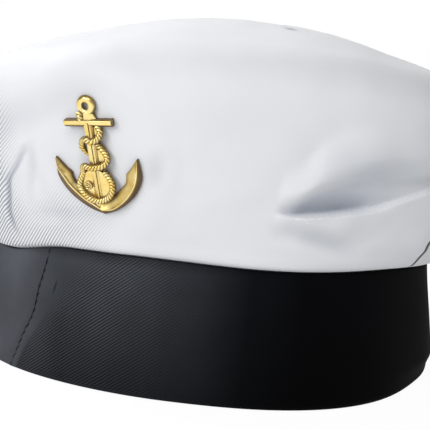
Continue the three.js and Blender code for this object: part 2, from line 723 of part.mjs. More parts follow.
// A rope along a list of points, as a loft of round sections.
function ropeGeometry(points) {
  const curve = new THREE.CatmullRomCurve3(points.map((point) =>
    new THREE.Vector3(point.x * half, point.y * badgeHeight, point.lift * badgeRidge)));
  const steps = Math.round(curve.getLength() / (ropeDiameter * 0.6));
  const outOfPlane = new THREE.Vector3(0, 0, 1);
  const loops = evenly(0, 1, steps).map((along) => {
    const middle = curve.getPointAt(along);
    const across = curve.getTangentAt(along).cross(outOfPlane).normalize();
    return evenly(0, 360, 7).slice(0, -1).map((angle) => middle.clone()
      .addScaledVector(across, (Math.cos(radians(angle)) * ropeDiameter) / 2)
      .addScaledVector(outOfPlane, (Math.sin(radians(angle)) * ropeDiameter) / 2));
  });
  return loft(loops.map((loop) => loop.reverse()));
}

function cylinderAlongZ(diameter, low, high, sides) {
  const cylinder = new THREE.CylinderGeometry(diameter / 2, diameter / 2, high - low, sides);
  cylinder.rotateX(Math.PI / 2);
  cylinder.translate(0, 0, (low + high) / 2);
  return cylinder;
}

function knobGeometry() {
  const knob = new THREE.SphereGeometry(ropeDiameter * 0.55, 8, 6);
  knob.translate(ropeKnob.x * half, ropeKnob.y * badgeHeight, ropeKnob.lift * badgeRidge);
  return knob;
}

// The plate inside the rope's coil that ties the casting together.
function coilPlateGeometry() {
  const plate = cylinderAlongZ(0.74 * half, 0, badgeRidge * 0.6, 16);
  plate.translate(-0.04 * half, -0.235 * badgeHeight, 0);
  return plate;
}

function badgeGeometry() {
  const pieces = [armGeometry(1), armGeometry(-1), stockGeometry(), shankGeometry(), collarGeometry()];
  pieces.push(ringGeometry(), knobGeometry(), coilPlateGeometry(), ...ropeLengths.map(ropeGeometry));
  const back = cylinderAlongZ(postDiameter, -postLength, badgeEdge, 10);
  let badge = asSolid(back);
  for (const piece of pieces) badge = badge.add(asSolid(piece));
  const slab = new THREE.BoxGeometry(badgeWidth * 2, badgeHeight * 2, 4 * badgeRidge);
  slab.translate(0, 0, 2 * badgeRidge);
  const front = badge.intersect(asSolid(slab));
  return asGeometry(front.add(asSolid(back)));
}

// The catch behind the cloth is a plain disc with a blind hole for the post.
function clutchGeometry() {
  const top = -gap - crownWall - gap;
  const bottom = Math.min(top - clutchThickness, -postLength - gap - 1);
  const disc = asSolid(cylinderAlongZ(clutchDiameter, bottom, top, 20));
  const hole = asSolid(cylinderAlongZ(postDiameter + 2 * gap, -postLength - gap, top + 1, 10));
  return asGeometry(disc.subtract(hole));
}

// The hole for the badge's post in the crown's front.
function withPostHole(panel, frame) {
  const hole = cylinderAlongZ(postDiameter + 2 * gap, -postLength, postLength, 10);
  hole.applyMatrix4(frame);
  return asGeometry(asSolid(panel).subtract(asSolid(hole)));
}

const cap = new THREE.Group();
cap.add(namedMesh('band', bandGeometry(), materials.black_twill));

const onCrown = new THREE.Matrix4().makeBasis(badgeSeat.right, badgeSeat.up, badgeSeat.out);
onCrown.setPosition(badgeSeat.origin);
const seamTurn = (gap / (Math.PI * bandWidth)) * 360 * 0.5;
const left = sideSeamAzimuth;
const frontAzimuths = evenly(-left + seamTurn, left - seamTurn, frontColumns);
const backAzimuths = evenly(left + seamTurn, 360 - left - seamTurn, backColumns);
const frontPanel = sidePanelGeometry(frontAzimuths);
const backPanel = sidePanelGeometry(backAzimuths);
const topPanel = topPanelGeometry([...frontAzimuths, ...backAzimuths]);
cap.add(namedMesh('crown_side_front', withPostHole(frontPanel, onCrown), materials.white_twill));
cap.add(namedMesh('crown_side_back', backPanel, materials.white_twill));
cap.add(namedMesh('crown_top', topPanel, materials.white_twill));

// The badge and its catch are placed together on the crown's front.
const badgeGroup = new THREE.Group();
badgeGroup.applyMatrix4(onCrown);
const badge = namedMesh('badge', badgeGeometry(), materials.gold_metal);
badge.position.z = gap;
badgeGroup.add(badge);
badgeGroup.add(namedMesh('badge_clutch', clutchGeometry(), materials.steel));
cap.add(badgeGroup);

export default cap;
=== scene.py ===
# %% [markdown]
# # A white sailor cap with a gold anchor badge
# The cap has a tall band of black twill, a soft puffed crown of white twill sewn from two side panels
# and a top, and a small cast badge in the shape of an anchor with a rope wound round it. This lesson
# dresses the measured model of the cap: each soft part is cut as a flat piece, wrapped round the form
# and given its folds, and each metal part is modelled from a simple body.

# %% Load the measured model
import math

import bpy
import numpy as np
from mathutils import Matrix, Vector, noise


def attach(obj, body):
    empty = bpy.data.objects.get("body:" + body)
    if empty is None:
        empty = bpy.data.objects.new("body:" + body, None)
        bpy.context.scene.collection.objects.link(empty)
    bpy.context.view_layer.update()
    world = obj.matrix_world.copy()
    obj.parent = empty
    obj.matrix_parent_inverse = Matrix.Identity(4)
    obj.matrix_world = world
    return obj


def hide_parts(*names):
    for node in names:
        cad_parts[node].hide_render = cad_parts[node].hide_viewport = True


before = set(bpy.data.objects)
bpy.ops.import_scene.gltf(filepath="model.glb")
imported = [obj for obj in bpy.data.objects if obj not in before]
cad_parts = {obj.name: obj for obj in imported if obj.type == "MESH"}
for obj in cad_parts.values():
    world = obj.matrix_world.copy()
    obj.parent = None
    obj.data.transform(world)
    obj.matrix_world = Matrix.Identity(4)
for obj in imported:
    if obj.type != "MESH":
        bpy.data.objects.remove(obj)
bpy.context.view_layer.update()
print("pieces of the model:", sorted(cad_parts))

# %% [markdown]
# ## Sizes
# All sizes are real ones. They are written in millimetres and turned into Blender's metres by one
# named factor, and azimuths are degrees from the front, positive towards the wearer's left.

# %% Sizes of the band, the crown and the badge
mm = 0.001
band_length, band_width, band_height = 184 * mm, 176 * mm, 40 * mm
band_wall, band_flare = 2.6 * mm, 4 * mm
join_azimuth, join_slant, join_wave = -15, 7, 0.75
join_width, join_relief = 7 * mm, 0.35 * mm
hem_tuck, tuck_azimuth, tuck_length, tuck_share = 2.4 * mm, 88, 36, 0.16
crown_length, crown_width, crown_height = 228 * mm, 219 * mm, 80 * mm
crown_wall, crown_lean, crown_lean_azimuth = 1.6 * mm, 7 * mm, 80
crown_saddle, side_seam_azimuth = 2.4 * mm, 64.5
seam_groove, seam_groove_width = 0.7 * mm, 9 * mm
badge_height, badge_width, badge_rise, badge_turn = 34.1 * mm, 25.9 * mm, 27.5 * mm, -1.7
badge_edge, badge_ridge = 0.8 * mm, 2.1 * mm
rope_diameter = 1.9 * mm
gap = 0.3 * mm
section_length = crown_height + crown_width / 2
print("the section over the crown is about", round(section_length, 3), "m long")

# %% [markdown]
# ## The camera and the light
# A long portrait lens stands a quarter of a metre in front of the cap, turned a little to the wearer's
# left and only two degrees above the floor, and it leans to one side as the photograph does. One large
# soft lamp stands low in front, a little to the left, one high beside the left side and a weaker one
# above the camera. No lamp stands at the right, so that the cap grows darker there, and a white floor
# lights it from below.

# %% Camera
camera_target = Vector((0, 0, 50.98 * mm))
camera_distance, camera_azimuth, camera_rise, camera_roll = 270 * mm, 18.1, 2.0, 4.6
lens_in_pixels, picture_side, sensor_side = 623, 430, 36
turn, rise = math.radians(camera_azimuth), math.radians(camera_rise)
back = Vector((math.sin(turn) * math.cos(rise), -math.cos(turn) * math.cos(rise), math.sin(rise)))
camera_data = bpy.data.cameras.new("camera")
camera_data.lens = lens_in_pixels / picture_side * sensor_side
camera_data.sensor_width = sensor_side
camera_data.clip_start = 0.01
camera = bpy.data.objects.new("camera", camera_data)
bpy.context.scene.collection.objects.link(camera)
level = (-back).to_track_quat("-Z", "Y").to_matrix().to_4x4()
lean = Matrix.Rotation(math.radians(camera_roll), 4, "Z")
camera.matrix_world = Matrix.Translation(camera_target + back * camera_distance) @ level @ lean
bpy.context.scene.camera = camera
print("camera height above the floor:", round(camera.location.z, 4))


# %% Lamps
def add_lamp(name, azimuth, height_angle, distance, size, power, colour):
    """A square soft lamp that shines at the cap from an azimuth and an angle above the floor."""
    data = bpy.data.lights.new(name, "AREA")
    data.size, data.energy, data.color = size, power, colour
    lamp = bpy.data.objects.new(name, data)
    bpy.context.scene.collection.objects.link(lamp)
    a, e = math.radians(azimuth), math.radians(height_angle)
    way = Vector((math.sin(a) * math.cos(e), -math.cos(a) * math.cos(e), math.sin(e)))
    lamp.location = camera_target + way * distance
    lamp.rotation_euler = (-way).to_track_quat("-Z", "Y").to_euler()


white, cool_white = (1.0, 1.0, 1.0), (0.98, 0.99, 1.0)
# Azimuth, angle above the floor, distance and side in metres, power in watts, colour.
add_lamp("front_lamp", -17, 14, 1.2, 0.55, 5.7, white)
add_lamp("high_lamp", -105, 55, 1.2, 0.8, 12.0, white)
add_lamp("upper_lamp", 20, 35, 1.4, 0.5, 4.3, cool_white)
print("lamps:", sorted(light.name for light in bpy.data.lights))

# %% The white room and the floor
# The room is dim above the horizon and as bright as a lit floor below it. The floor itself is seen and
# mirrored, but the room's lower half does its part in lighting the cloth.
room_above, room_below, horizon_blur = 0.05, 0.73, 0.15
room_tint = (0.96, 0.98, 1.0, 1)
world = bpy.data.worlds.new("white_room")
world.use_nodes = True
bpy.context.scene.world = world
room, room_links = world.node_tree.nodes, world.node_tree.links
direction, split = room.new("ShaderNodeTexCoord"), room.new("ShaderNodeSeparateXYZ")
horizon = room.new("ShaderNodeMapRange")
for name, value in (("From Min", -horizon_blur), ("From Max", horizon_blur),
                    ("To Min", room_below), ("To Max", room_above)):
    horizon.inputs[name].default_value = value
room_links.new(direction.outputs["Generated"], split.inputs[0])
room_links.new(split.outputs[2], horizon.inputs["Value"])
room["Background"].inputs["Color"].default_value = room_tint
room_links.new(horizon.outputs["Result"], room["Background"].inputs["Strength"])
backdrop = room.new("ShaderNodeBackground")
backdrop.inputs["Color"].default_value = (1, 1, 1, 1)
backdrop.inputs["Strength"].default_value = 1.0
chooser, path = room.new("ShaderNodeMixShader"), room.new("ShaderNodeLightPath")
room_links.new(path.outputs["Is Camera Ray"], chooser.inputs["Fac"])
room_links.new(room["Background"].outputs[0], chooser.inputs[1])
room_links.new(backdrop.outputs[0], chooser.inputs[2])
room_links.new(chooser.outputs[0], room["World Output"].inputs["Surface"])
bpy.context.scene.view_settings.view_transform = "Standard"

floor_side, floor_drop, floor_grey, floor_glow = 8, 0.2 * mm, 0.12, 0.94
bpy.ops.object.select_all(action="DESELECT")
bpy.ops.mesh.primitive_plane_add(size=floor_side, location=(0, 0, -floor_drop))
floor = bpy.context.object
floor.name = "floor"
floor.visible_diffuse = False
floor.visible_shadow = False
floor_finish = bpy.data.materials.new("pale_floor")
floor_finish.use_nodes = True
floor_surface = floor_finish.node_tree.nodes["Principled BSDF"]
floor_surface.inputs["Base Color"].default_value = (floor_grey, floor_grey, floor_grey, 1)
floor_surface.inputs["Roughness"].default_value = 0.9
floor_surface.inputs["Specular IOR Level"].default_value = 0.0
floor_surface.inputs["Emission Color"].default_value = (1, 1, 1, 1)
floor_surface.inputs["Emission Strength"].default_value = floor_glow
floor.data.materials.append(floor_finish)
print("the floor is", floor_side, "m wide")

# %% [markdown]
# ## The form that the cloth follows
# A cap keeps no exact shape, so its form is written as smooth functions of two places: the azimuth
# round the head and the share of the way up the section, from the band's edge to the middle of the
# top. Small tables hold the section, the seams and the folds, and one function joins them.


# %% Smooth steps and curves
def smoothstep(x):
    t = np.clip(x, 0, 1)
    return t * t * (3 - 2 * t)


def bump(x):
    """1 at x = 0, falling smoothly to 0 at x = -1 and x = 1."""
    return np.where(np.abs(x) < 1, np.cos(np.clip(x, -1, 1) * math.pi / 2) ** 2, 0.0)


def turn_between(azimuth, other):
    return (azimuth - other + 180) % 360 - 180


def follow(places, values, at):
    """A smooth curve through a table's rows that doesn't overshoot them."""
    places, values = np.asarray(places, float), np.asarray(values, float)
    steps = np.diff(places)
    slopes = np.diff(values) / steps
    before, after = slopes[:-1], slopes[1:]
    total = np.where(before + after == 0, 1, before + after)
    inner = np.where(before * after > 0, 2 * before * after / total, 0)
    lean_at = np.concatenate([slopes[:1], inner, slopes[-1:]])
    row = np.clip(np.searchsorted(places, at, side="right") - 1, 0, len(steps) - 1)
    t = np.clip((at - places[row]) / steps[row], 0, 1)
    ease = t * t * (3 - 2 * t)
    leaving = t * (1 - t) ** 2 * lean_at[row] * steps[row]
    arriving = t * t * (t - 1) * lean_at[row + 1] * steps[row]
    return values[row] * (1 - ease) + values[row + 1] * ease + leaving + arriving


# %% The band's form
# Dips of the upper edge: azimuth, half length in degrees, drop as a share of the height.
band_dips = [(-31, 22, 0.085), (32, 30, 0.030)]
# Places that stand out: azimuth, half length, and how far at the upper and at the lower edge, as shares
# of the band's width.
band_swells = [(43, 31, 0.008, 0.020), (-2, 32, 0.000, -0.008), (90, 36, 0.002, 0.009)]
flare_power = 1.3
wave_middle, wave_reach = 0.47, 0.24
join_valley, join_valley_width, join_run_out = 1.4, 0.3, 0.15


def oval_radius(length, width, azimuth):
    angle = np.radians(azimuth)
    return length * width / 2 / np.hypot(length * np.sin(angle), width * np.cos(angle))


def polar(azimuth, radius, height):
    angle = np.radians(azimuth)
    return np.stack(np.broadcast_arrays(radius * np.sin(angle), -radius * np.cos(angle), height), -1)


def band_top(azimuth):
    drops = sum(drop * bump(turn_between(azimuth, at) / length) for at, length, drop in band_dips)
    return band_height * (1 - drops)


def join_at(share):
    """The join's azimuth at a share of the height: a slanting line with one small wave."""
    return join_azimuth - join_slant * (1 - share) + join_wave * bump((share - wave_middle) / wave_reach)


def join_offset(azimuth, share):
    """How far a place on the band lies from its join, along the cloth."""
    return np.radians(turn_between(azimuth, join_at(share))) * band_width / 2


def band_radius(azimuth, share):
    flare = band_flare * np.clip(1 - share, 0, 1) ** flare_power
    radius = oval_radius(band_length, band_width, azimuth) + flare
    for at, length, upper, lower in band_swells:
        out = lower + (upper - lower) * share
        radius = radius + out * band_width * bump(turn_between(azimuth, at) / length)
    tucked = bump(turn_between(azimuth, tuck_azimuth) / tuck_length) * smoothstep(1 - share / tuck_share)
    offset = join_offset(azimuth, share)
    swelling = bump(offset / join_width)
    swelling = swelling * (1 - join_valley * bump(offset / (join_width * join_valley_width)))
    swelling = swelling * smoothstep((1 - share) / join_run_out) * smoothstep(share / join_run_out)
    return radius - hem_tuck * tucked + join_relief * swelling


print("girth of the band's upper edge:", round(math.pi * (band_length + band_width) / 2, 3), "m")

# %% The crown's section, its seams and its folds
# Columns: place along the section, share of the band's radius, share of the crown's radius, height.
crown_profile = np.array([
    (0.000, 1.00, 0.00, 0.000), (0.014, 0.85, 0.15, 0.012), (0.040, 0.75, 0.25, 0.065),
    (0.110, 0.52, 0.48, 0.205), (0.200, 0.22, 0.78, 0.390), (0.294, 0.00, 1.00, 0.565),
    (0.327, 0.00, 0.987, 0.630), (0.362, 0.00, 0.95, 0.690), (0.408, 0.00, 0.888, 0.737),
    (0.472, 0.00, 0.80, 0.797), (0.560, 0.00, 0.67, 0.870), (0.682, 0.00, 0.49, 0.945),
    (0.827, 0.00, 0.27, 0.985), (1.000, 0.00, 0.00, 1.000),
])
# The top's seam, in rows of azimuth and place along the section. In the middle of the front the front
# panel reaches over the crown's edge.
top_seam_path = np.array([
    (-180, 0.445), (-75, 0.425), (-45, 0.385), (-30, 0.383), (-22, 0.412), (-14, 0.507), (-6, 0.590),
    (6, 0.645), (20, 0.655), (30, 0.614), (37, 0.590), (45, 0.557), (53, 0.520), (62, 0.458), (75, 0.445),
    (180, 0.445),
])


def top_seam_at(azimuth):
    return follow(top_seam_path[:, 0], top_seam_path[:, 1], turn_between(azimuth, 0))


def seam_slack(azimuth):
    """How far a panel's edge stays from the seam's middle, so that half the gap is left square to it."""
    climb = (top_seam_at(azimuth + 1) - top_seam_at(azimuth - 1)) * section_length
    way_round = math.radians(2) * 0.35 * crown_width
    return gap / 2 / section_length * np.hypot(1, climb / way_round)


# Creases that run round the crown. Each row of a path is azimuth, place along the section, how strong
# the crease is there and how wide. The other numbers are in millimetres at full strength: how deep the
# crease is, then the width, swelling and reach of the cloth above it and of the cloth below it, then how
# strong its shade is and how far that reaches above and below. A shade that doesn't follow the crease's
# strength has a course of its own, in rows of azimuth and strength.
round_creases = {
    "main crease": dict(
        path=[(27.5, 0.105, 0, 0.5), (30, 0.105, 0.5, 0.6), (33.5, 0.110, 1, 0.85), (38.6, 0.117, 1, 1),
              (44.8, 0.127, 0.65, 1), (51, 0.147, 0.45, 1), (58, 0.168, 0.35, 1), (66, 0.184, 0.2, 1),
              (80, 0.19, 0, 1)],
        depth=3.2, above=(10, 3.2, 26), below=(2.0, 2.4, 13), shade=(0.95, 9, 1.3),
        shade_course=[(27.5, 0), (29.5, 0.45), (33, 0.9), (38, 1), (41, 0.85), (44.5, 0.45), (50, 0.2),
                      (66, 0.1), (80, 0)]),
    "upper branch": dict(
        path=[(31, 0.128, 0, 1), (36, 0.145, 0.6, 1), (42, 0.162, 1, 1), (50, 0.172, 1, 1),
              (58, 0.180, 0.9, 1), (70, 0.186, 0.5, 1), (84, 0.19, 0, 1)],
        depth=1.5, above=(8, 1.2, 20), below=(5, 0.6, 9), shade=(0.14, 8, 5)),
    "lower crease": dict(
        path=[(27, 0.080, 0, 1), (30.5, 0.0755, 0.8, 1), (35, 0.066, 1, 1), (39.5, 0.056, 0.9, 1),
              (46, 0.045, 0, 1)],
        depth=1.0, above=(5, 0.3, 10), below=(5, 0.3, 10), shade=(0.30, 5, 4)),
    "fold beside the ring": dict(
        path=[(-44, 0.17, 0, 1), (-30, 0.19, 0.5, 1), (-18.6, 0.212, 0.8, 1), (-8, 0.244, 1, 1),
              (-1.2, 0.276, 0.6, 1), (4, 0.29, 0, 1)],
        depth=0.9, above=(9, 0.4, 20), below=(9, 0.4, 20), shade=(0.16, 9, 7)),
    "fold under the left fluke": dict(
        path=[(-18, 0.066, 0, 1), (-12, 0.071, 1, 1), (-6, 0.077, 0.7, 1), (2, 0.083, 0, 1)],
        depth=0.5, above=(5, 0.3, 12), below=(5, 0.2, 12), shade=(0.15, 3, 4)),
    "plain fold at the back": dict(
        path=[(132, 0.13, 0, 1), (148, 0.14, 0.7, 1), (165, 0.15, 1, 1), (180, 0.16, 0.7, 1),
              (197, 0.17, 0, 1)],
        depth=2.0, above=(8, 1.4, 18), below=(6, 0.8, 13), shade=(0.4, 6, 3)),
    "plain fold on the wearer's right": dict(
        path=[(-120, 0.14, 0, 1), (-108, 0.13, 0.8, 1), (-96, 0.12, 1, 1), (-84, 0.105, 0.5, 1),
              (-74, 0.095, 0, 1)],
        depth=2.2, above=(8, 1.5, 18), below=(6, 0.9, 13), shade=(0.4, 6, 3)),
}
# Hollows that run up the crown. Each row of a path is place along the section, azimuth and strength, and
# depth and width are in millimetres.
upright_hollows = {
    "first streak": dict(
        path=[(0.03, -22, 0), (0.05, -22.6, 0.6), (0.073, -23, 1), (0.10, -21.8, 1), (0.127, -20.4, 1),
              (0.150, -17, 0.8), (0.177, -13.8, 0.5), (0.19, -12.5, 0)],
        depth=0.6, width=4, shade=0.80),
    "second streak": dict(
        path=[(0.08, -15.5, 0), (0.11, -15, 0.6), (0.15, -13, 1), (0.20, -11, 0)],
        depth=0.5, width=5, shade=0.2),
    "dimple by the right fluke": dict(
        path=[(0.12, 8.5, 0), (0.155, 9, 1), (0.19, 9.5, 0)], depth=0.7, width=6, shade=0.25),
}


def crease_rows(crease):
    return np.array(crease["path"], float).T


def beside_crease(crease, azimuth, along):
    """For each place its azimuth near a crease, how far above it lies and whether the crease runs there."""
    at, place = crease_rows(crease)[:2]
    turned = turn_between(azimuth, at[len(at) // 2]) + at[len(at) // 2]
    away = (along - follow(at, place, turned)) * section_length
    return turned, away, (turned > at[0]) & (turned < at[-1])


def crease_height(crease, azimuth, along):
    """How far one crease moves the cloth outwards: a valley with a swelling above and one below."""
    at, _, strength, spread = crease_rows(crease)
    turned, away, here = beside_crease(crease, azimuth, along)
    wide = follow(at, spread, turned) * mm
    height = np.zeros_like(away)
    for sign, side in ((1, crease["above"]), (-1, crease["below"])):
        out, (width, swelling, reach) = np.maximum(sign * away, 0), side
        lip = smoothstep(out / (width * wide)) * smoothstep((reach * wide - out) / ((reach - width) * wide))
        valley = crease["depth"] * (1 - smoothstep(out / (width * wide)))
        height = height + np.where(sign * away > 0, swelling * lip - valley, 0)
    height = np.where(away == 0, -crease["depth"], height)
    return height * mm * follow(at, strength, turned) * here


def hollow_strength(hollow, azimuth, along, width):
    place, at, strength = np.array(hollow["path"], float).T
    away = np.radians(turn_between(azimuth, follow(place, at, along))) * crown_width / 2
    inside = (along > place[0]) & (along < place[-1])
    return follow(place, strength, along) * bump(away / (width * mm)) * inside


def hollow_height(hollow, azimuth, along):
    return -hollow["depth"] * mm * hollow_strength(hollow, azimuth, along, hollow["width"])


# %% How the cloth swells, and the crown's whole form
# Waves round the crown: how many, where the first begins in degrees, size.
crown_waves = [(3, 20, 0.48 * mm), (7, 40, 0.40 * mm)]
# Broad swellings: azimuth, place along the section, half length, reach below, reach above, size.
crown_swellings = [(26, 0.60, 44, 0.25, 0.30, 1.6 * mm), (-12, 0.54, 26, 0.20, 0.25, 0.6 * mm),
                   (-27, 0.39, 24, 0.16, 0.20, 0.9 * mm), (72, 0.065, 34, 0.065, 0.13, 3.5 * mm)]
# How strongly stitches gather the cloth at the side seams and the top seam, and how far apart.
side_gathers, side_gather_pitch = 0.55, 9 * mm
top_gathers, top_gather_pitch = 0.6, 11 * mm
# Shares of the section: where waves have grown full, where they end and over how much they fade, where
# the side seams' groove is full, where the swelling turns from outwards to upwards, and up to where the
# crown's edge follows the band's.
waves_full, waves_end, waves_fade, groove_full = 0.15, 0.6, 0.3, 0.06
upwards_from, upwards_blend, follows_band_to = 0.62, 0.3, 0.2


def from_side_seam(azimuth):
    turns = [np.abs(turn_between(azimuth, side * side_seam_azimuth)) for side in (1, -1)]
    return np.radians(np.minimum(*turns)) * crown_width / 2


def from_top_seam(azimuth, along):
    return np.abs(along - top_seam_at(azimuth)) * section_length


def pucker(place, wavelength):
    """Small uneven gathers, as stitches pull the cloth beside a seam."""
    phase = 2 * math.pi * place / wavelength
    return 0.5 * np.sin(phase) + 0.35 * np.sin(1.63 * phase + 1.1) + 0.3 * np.sin(0.57 * phase + 2.3)


def cloth_height(azimuth, along, sewn=True):
    height = sum(crease_height(crease, azimuth, along) for crease in round_creases.values())
    height = height + sum(hollow_height(hollow, azimuth, along) for hollow in upright_hollows.values())
    free = smoothstep(along / waves_full) * smoothstep((waves_end - along) / waves_fade)
    for count, phase, size in crown_waves:
        height = height + size * free * np.sin(np.radians(count * azimuth + phase))
    for at, place, half_length, under, over, size in crown_swellings:
        reach = np.where(along < place, under, over)
        height = height + size * bump(turn_between(azimuth, at) / half_length) * bump((along - place) / reach)
    if not sewn:
        return height
    side, top = from_side_seam(azimuth), from_top_seam(azimuth, along)
    round_place, up_place = np.radians(azimuth) * crown_width / 2, along * section_length
    side_groove = seam_groove * bump(side / seam_groove_width) * smoothstep(along / groove_full)
    side_groove = side_groove * (1 + side_gathers * pucker(up_place, side_gather_pitch))
    top_groove = seam_groove * bump(top / seam_groove_width)
    top_groove = top_groove * (1 + top_gathers * pucker(round_place, top_gather_pitch))
    return height - np.maximum(np.where(along < top_seam_at(azimuth), side_groove, 0), top_groove)


def lean_height(azimuth, spread, up):
    tilt = crown_lean * np.cos(np.radians(turn_between(azimuth, crown_lean_azimuth))) * spread * up
    return tilt + crown_saddle * np.cos(2 * np.radians(azimuth)) * spread * spread * up


def loose_crown(azimuth, along, sewn=True):
    """The crown's outer face before the badge presses on it."""
    azimuth, along = np.broadcast_arrays(np.asarray(azimuth, float), np.asarray(along, float))
    hold, reach, up = (follow(crown_profile[:, 0], crown_profile[:, i], along) for i in (1, 2, 3))
    seat = band_radius(azimuth, 1.0) - band_wall / 2
    spread = np.minimum(1, hold + reach)
    swell = cloth_height(azimuth, along, sewn)
    outward = smoothstep((upwards_from - along) / upwards_blend)
    radius = hold * seat + reach * oval_radius(crown_length, crown_width, azimuth) + swell * outward
    near_band = smoothstep((follows_band_to - along) / follows_band_to)
    seam = band_height + (band_top(azimuth) - band_height) * near_band
    height = seam + gap + crown_height * up + lean_height(azimuth, spread, up) + swell * (1 - outward)
    return polar(azimuth, radius, height)


print("the crown's edge in front is", round(float(loose_crown(0, 0)[2]), 4), "m above the floor")


# %% Where the badge sits
# The badge's level is looked for up the front's section, and the slope there is taken over two steps.
seat_step = 0.04
front = np.linspace(0, 0.4, 401)
badge_along = front[np.argmax(loose_crown(0, front)[:, 2] >= band_height + badge_rise)]
above, below = loose_crown(0, badge_along + seat_step), loose_crown(0, badge_along - seat_step)
seat_up = Vector((0, *(above - below)[1:])).normalized()
seat_right = Vector((1, 0, 0))
seat_out = seat_right.cross(seat_up).normalized()
badge_tilt = Matrix.Rotation(math.radians(-badge_turn), 3, seat_out)
seat_right, seat_up = badge_tilt @ seat_right, badge_tilt @ seat_up
pressed_in = (badge_width / 2) ** 2 / crown_width
seat_origin = Vector(loose_crown(0, badge_along)) - seat_out * pressed_in
seat_axes = Matrix((seat_right, seat_up, seat_out)).transposed().to_4x4()
badge_seat = Matrix.Translation(seat_origin) @ seat_axes
print("the badge sits at", [round(x, 4) for x in seat_origin])

# How far round the badge the cloth is pressed flat and over what it rises again, in badge sizes, and how
# close to the badge's level a place has to lie.
press_reach, press_blend, press_level = 0.95, 0.38, badge_height / 8
# The steps from which the way out of the cloth is measured, in degrees round and in shares of the section,
# and the last place up the section that such a step reaches.
normal_turn, normal_step, last_place = 1, 0.008, 0.98


def crown_surface(azimuth, along, sewn=True):
    """The crown's outer face, pressed flat where the badge lies on it."""
    points = loose_crown(azimuth, along, sewn)
    offset = points - np.array(seat_origin)
    across, upwards = offset @ np.array(seat_right), offset @ np.array(seat_up)
    standing = offset @ np.array(seat_out)
    distance = np.hypot(across / badge_width, upwards / badge_height)
    pressed = smoothstep((press_reach - distance) / press_blend)
    pressed = pressed * smoothstep(3 - np.abs(standing) / press_level)
    return points - np.array(seat_out) * (standing * pressed)[..., None]


def crown_normal(azimuth, along):
    """The way out of the cloth, from four places close by. The grooves of seams are left out of it."""
    low, high = np.maximum(0, along - normal_step), np.minimum(last_place, along + normal_step)
    ahead, behind = (crown_surface(azimuth + turned, along, False) for turned in (normal_turn, -normal_turn))
    around = ahead - behind
    upwards = crown_surface(azimuth, high, False) - crown_surface(azimuth, low, False)
    normal = np.cross(around, upwards)
    return normal / np.maximum(np.linalg.norm(normal, axis=-1, keepdims=True), 1e-12)


# %% [markdown]
# ## Cloth panels
# A tailor cuts a flat panel and sews it round the form. The same is done here: a flat grid is the cut
# panel, its corners go to their places on the form, and Solidify gives the cloth its thickness. The
# grid's own map is kept in real metres, so that the weave has its true size everywhere.


# %% Helpers for shaping a mesh
merge_distance = 0.002 * mm


def deselect():
    bpy.ops.object.select_all(action="DESELECT")


def pick_up(piece):
    deselect()
    piece.select_set(True)
    bpy.context.view_layer.objects.active = piece


def points_of(piece):
    found = np.empty(len(piece.data.vertices) * 3)
    piece.data.vertices.foreach_get("co", found)
    return found.reshape(-1, 3)


def move_points(piece, points):
    piece.data.vertices.foreach_set("co", np.ascontiguousarray(points, dtype=np.float64).ravel())
    piece.data.update()


def flat_cut(name, columns, rows):
    """A flat panel with one corner at (0, 0) and the other at (1, 1), and the places of its points."""
    deselect()
    bpy.ops.mesh.primitive_grid_add(x_subdivisions=columns, y_subdivisions=rows, size=1)
    piece = bpy.context.object
    piece.name = piece.data.name = name
    flat = points_of(piece)
    return piece, flat[:, 0] + 0.5, flat[:, 1] + 0.5


def lay_weave(piece, across, upwards):
    """Writes the cloth's own map, in metres, from a value for each point."""
    corners = np.empty(len(piece.data.loops), np.int32)
    piece.data.loops.foreach_get("vertex_index", corners)
    both = np.stack([across[corners], upwards[corners]], 1).astype(np.float32)
    piece.data.uv_layers.active.data.foreach_set("uv", both.ravel())


def in_edit_mode(piece, *steps):
    """Runs edit-mode steps on a whole mesh."""
    pick_up(piece)
    bpy.ops.object.mode_set(mode="EDIT")
    bpy.ops.mesh.select_all(action="SELECT")
    for step in steps:
        step()
    bpy.ops.object.mode_set(mode="OBJECT")


def apply_modifier(piece, kind, **settings):
    pick_up(piece)
    modifier = piece.modifiers.new(kind.lower(), kind)
    for name, value in settings.items():
        setattr(modifier, name, value)
    bpy.ops.object.modifier_apply(modifier=modifier.name)


def smooth(piece, angle=40):
    pick_up(piece)
    bpy.ops.object.shade_smooth_by_angle(angle=math.radians(angle))


def merge_only():
    bpy.ops.mesh.remove_doubles(threshold=merge_distance)


def merge_and_turn_out():
    merge_only()
    bpy.ops.mesh.normals_make_consistent(inside=False)


def select_open_edges():
    bpy.ops.mesh.select_all(action="DESELECT")
    bpy.ops.mesh.select_mode(type="EDGE")
    bpy.ops.mesh.select_non_manifold(extend=False, use_wire=False, use_boundary=True,
                                     use_multi_face=False, use_non_contiguous=False, use_verts=False)


def select_all_corners():
    bpy.ops.mesh.select_mode(type="VERT")
    bpy.ops.mesh.select_all(action="SELECT")


def join_open_edges():
    """Closes the edge between the outer and the inner face of a ring of cloth."""
    select_open_edges()
    bpy.ops.mesh.bridge_edge_loops()
    select_all_corners()
    bpy.ops.mesh.normals_make_consistent(inside=False)


def close_open_ends():
    select_open_edges()
    bpy.ops.mesh.fill_holes(sides=0)
    select_all_corners()


def write_value(piece, name, values):
    """Keeps one number for each point of a mesh, for its finish to read."""
    piece.data.attributes.new(name, "FLOAT", "POINT")
    piece.data.attributes[name].data.foreach_set("value", np.asarray(values, np.float32))


def tell_size(piece):
    triangles = sum(len(p.vertices) - 2 for p in piece.data.polygons)
    print(piece.name, "has", triangles, "triangles")


# %% How a panel's cloth lies
edge_roll = 1.0 * mm
# Small hollows and swellings: how many to a metre along each axis, where they start, and size.
broad_unevenness = (38, 38, 55), (0, 0, 7), 0.55 * mm
fine_unevenness = (120, 120, 150), (3, 0, 0), 0.16 * mm


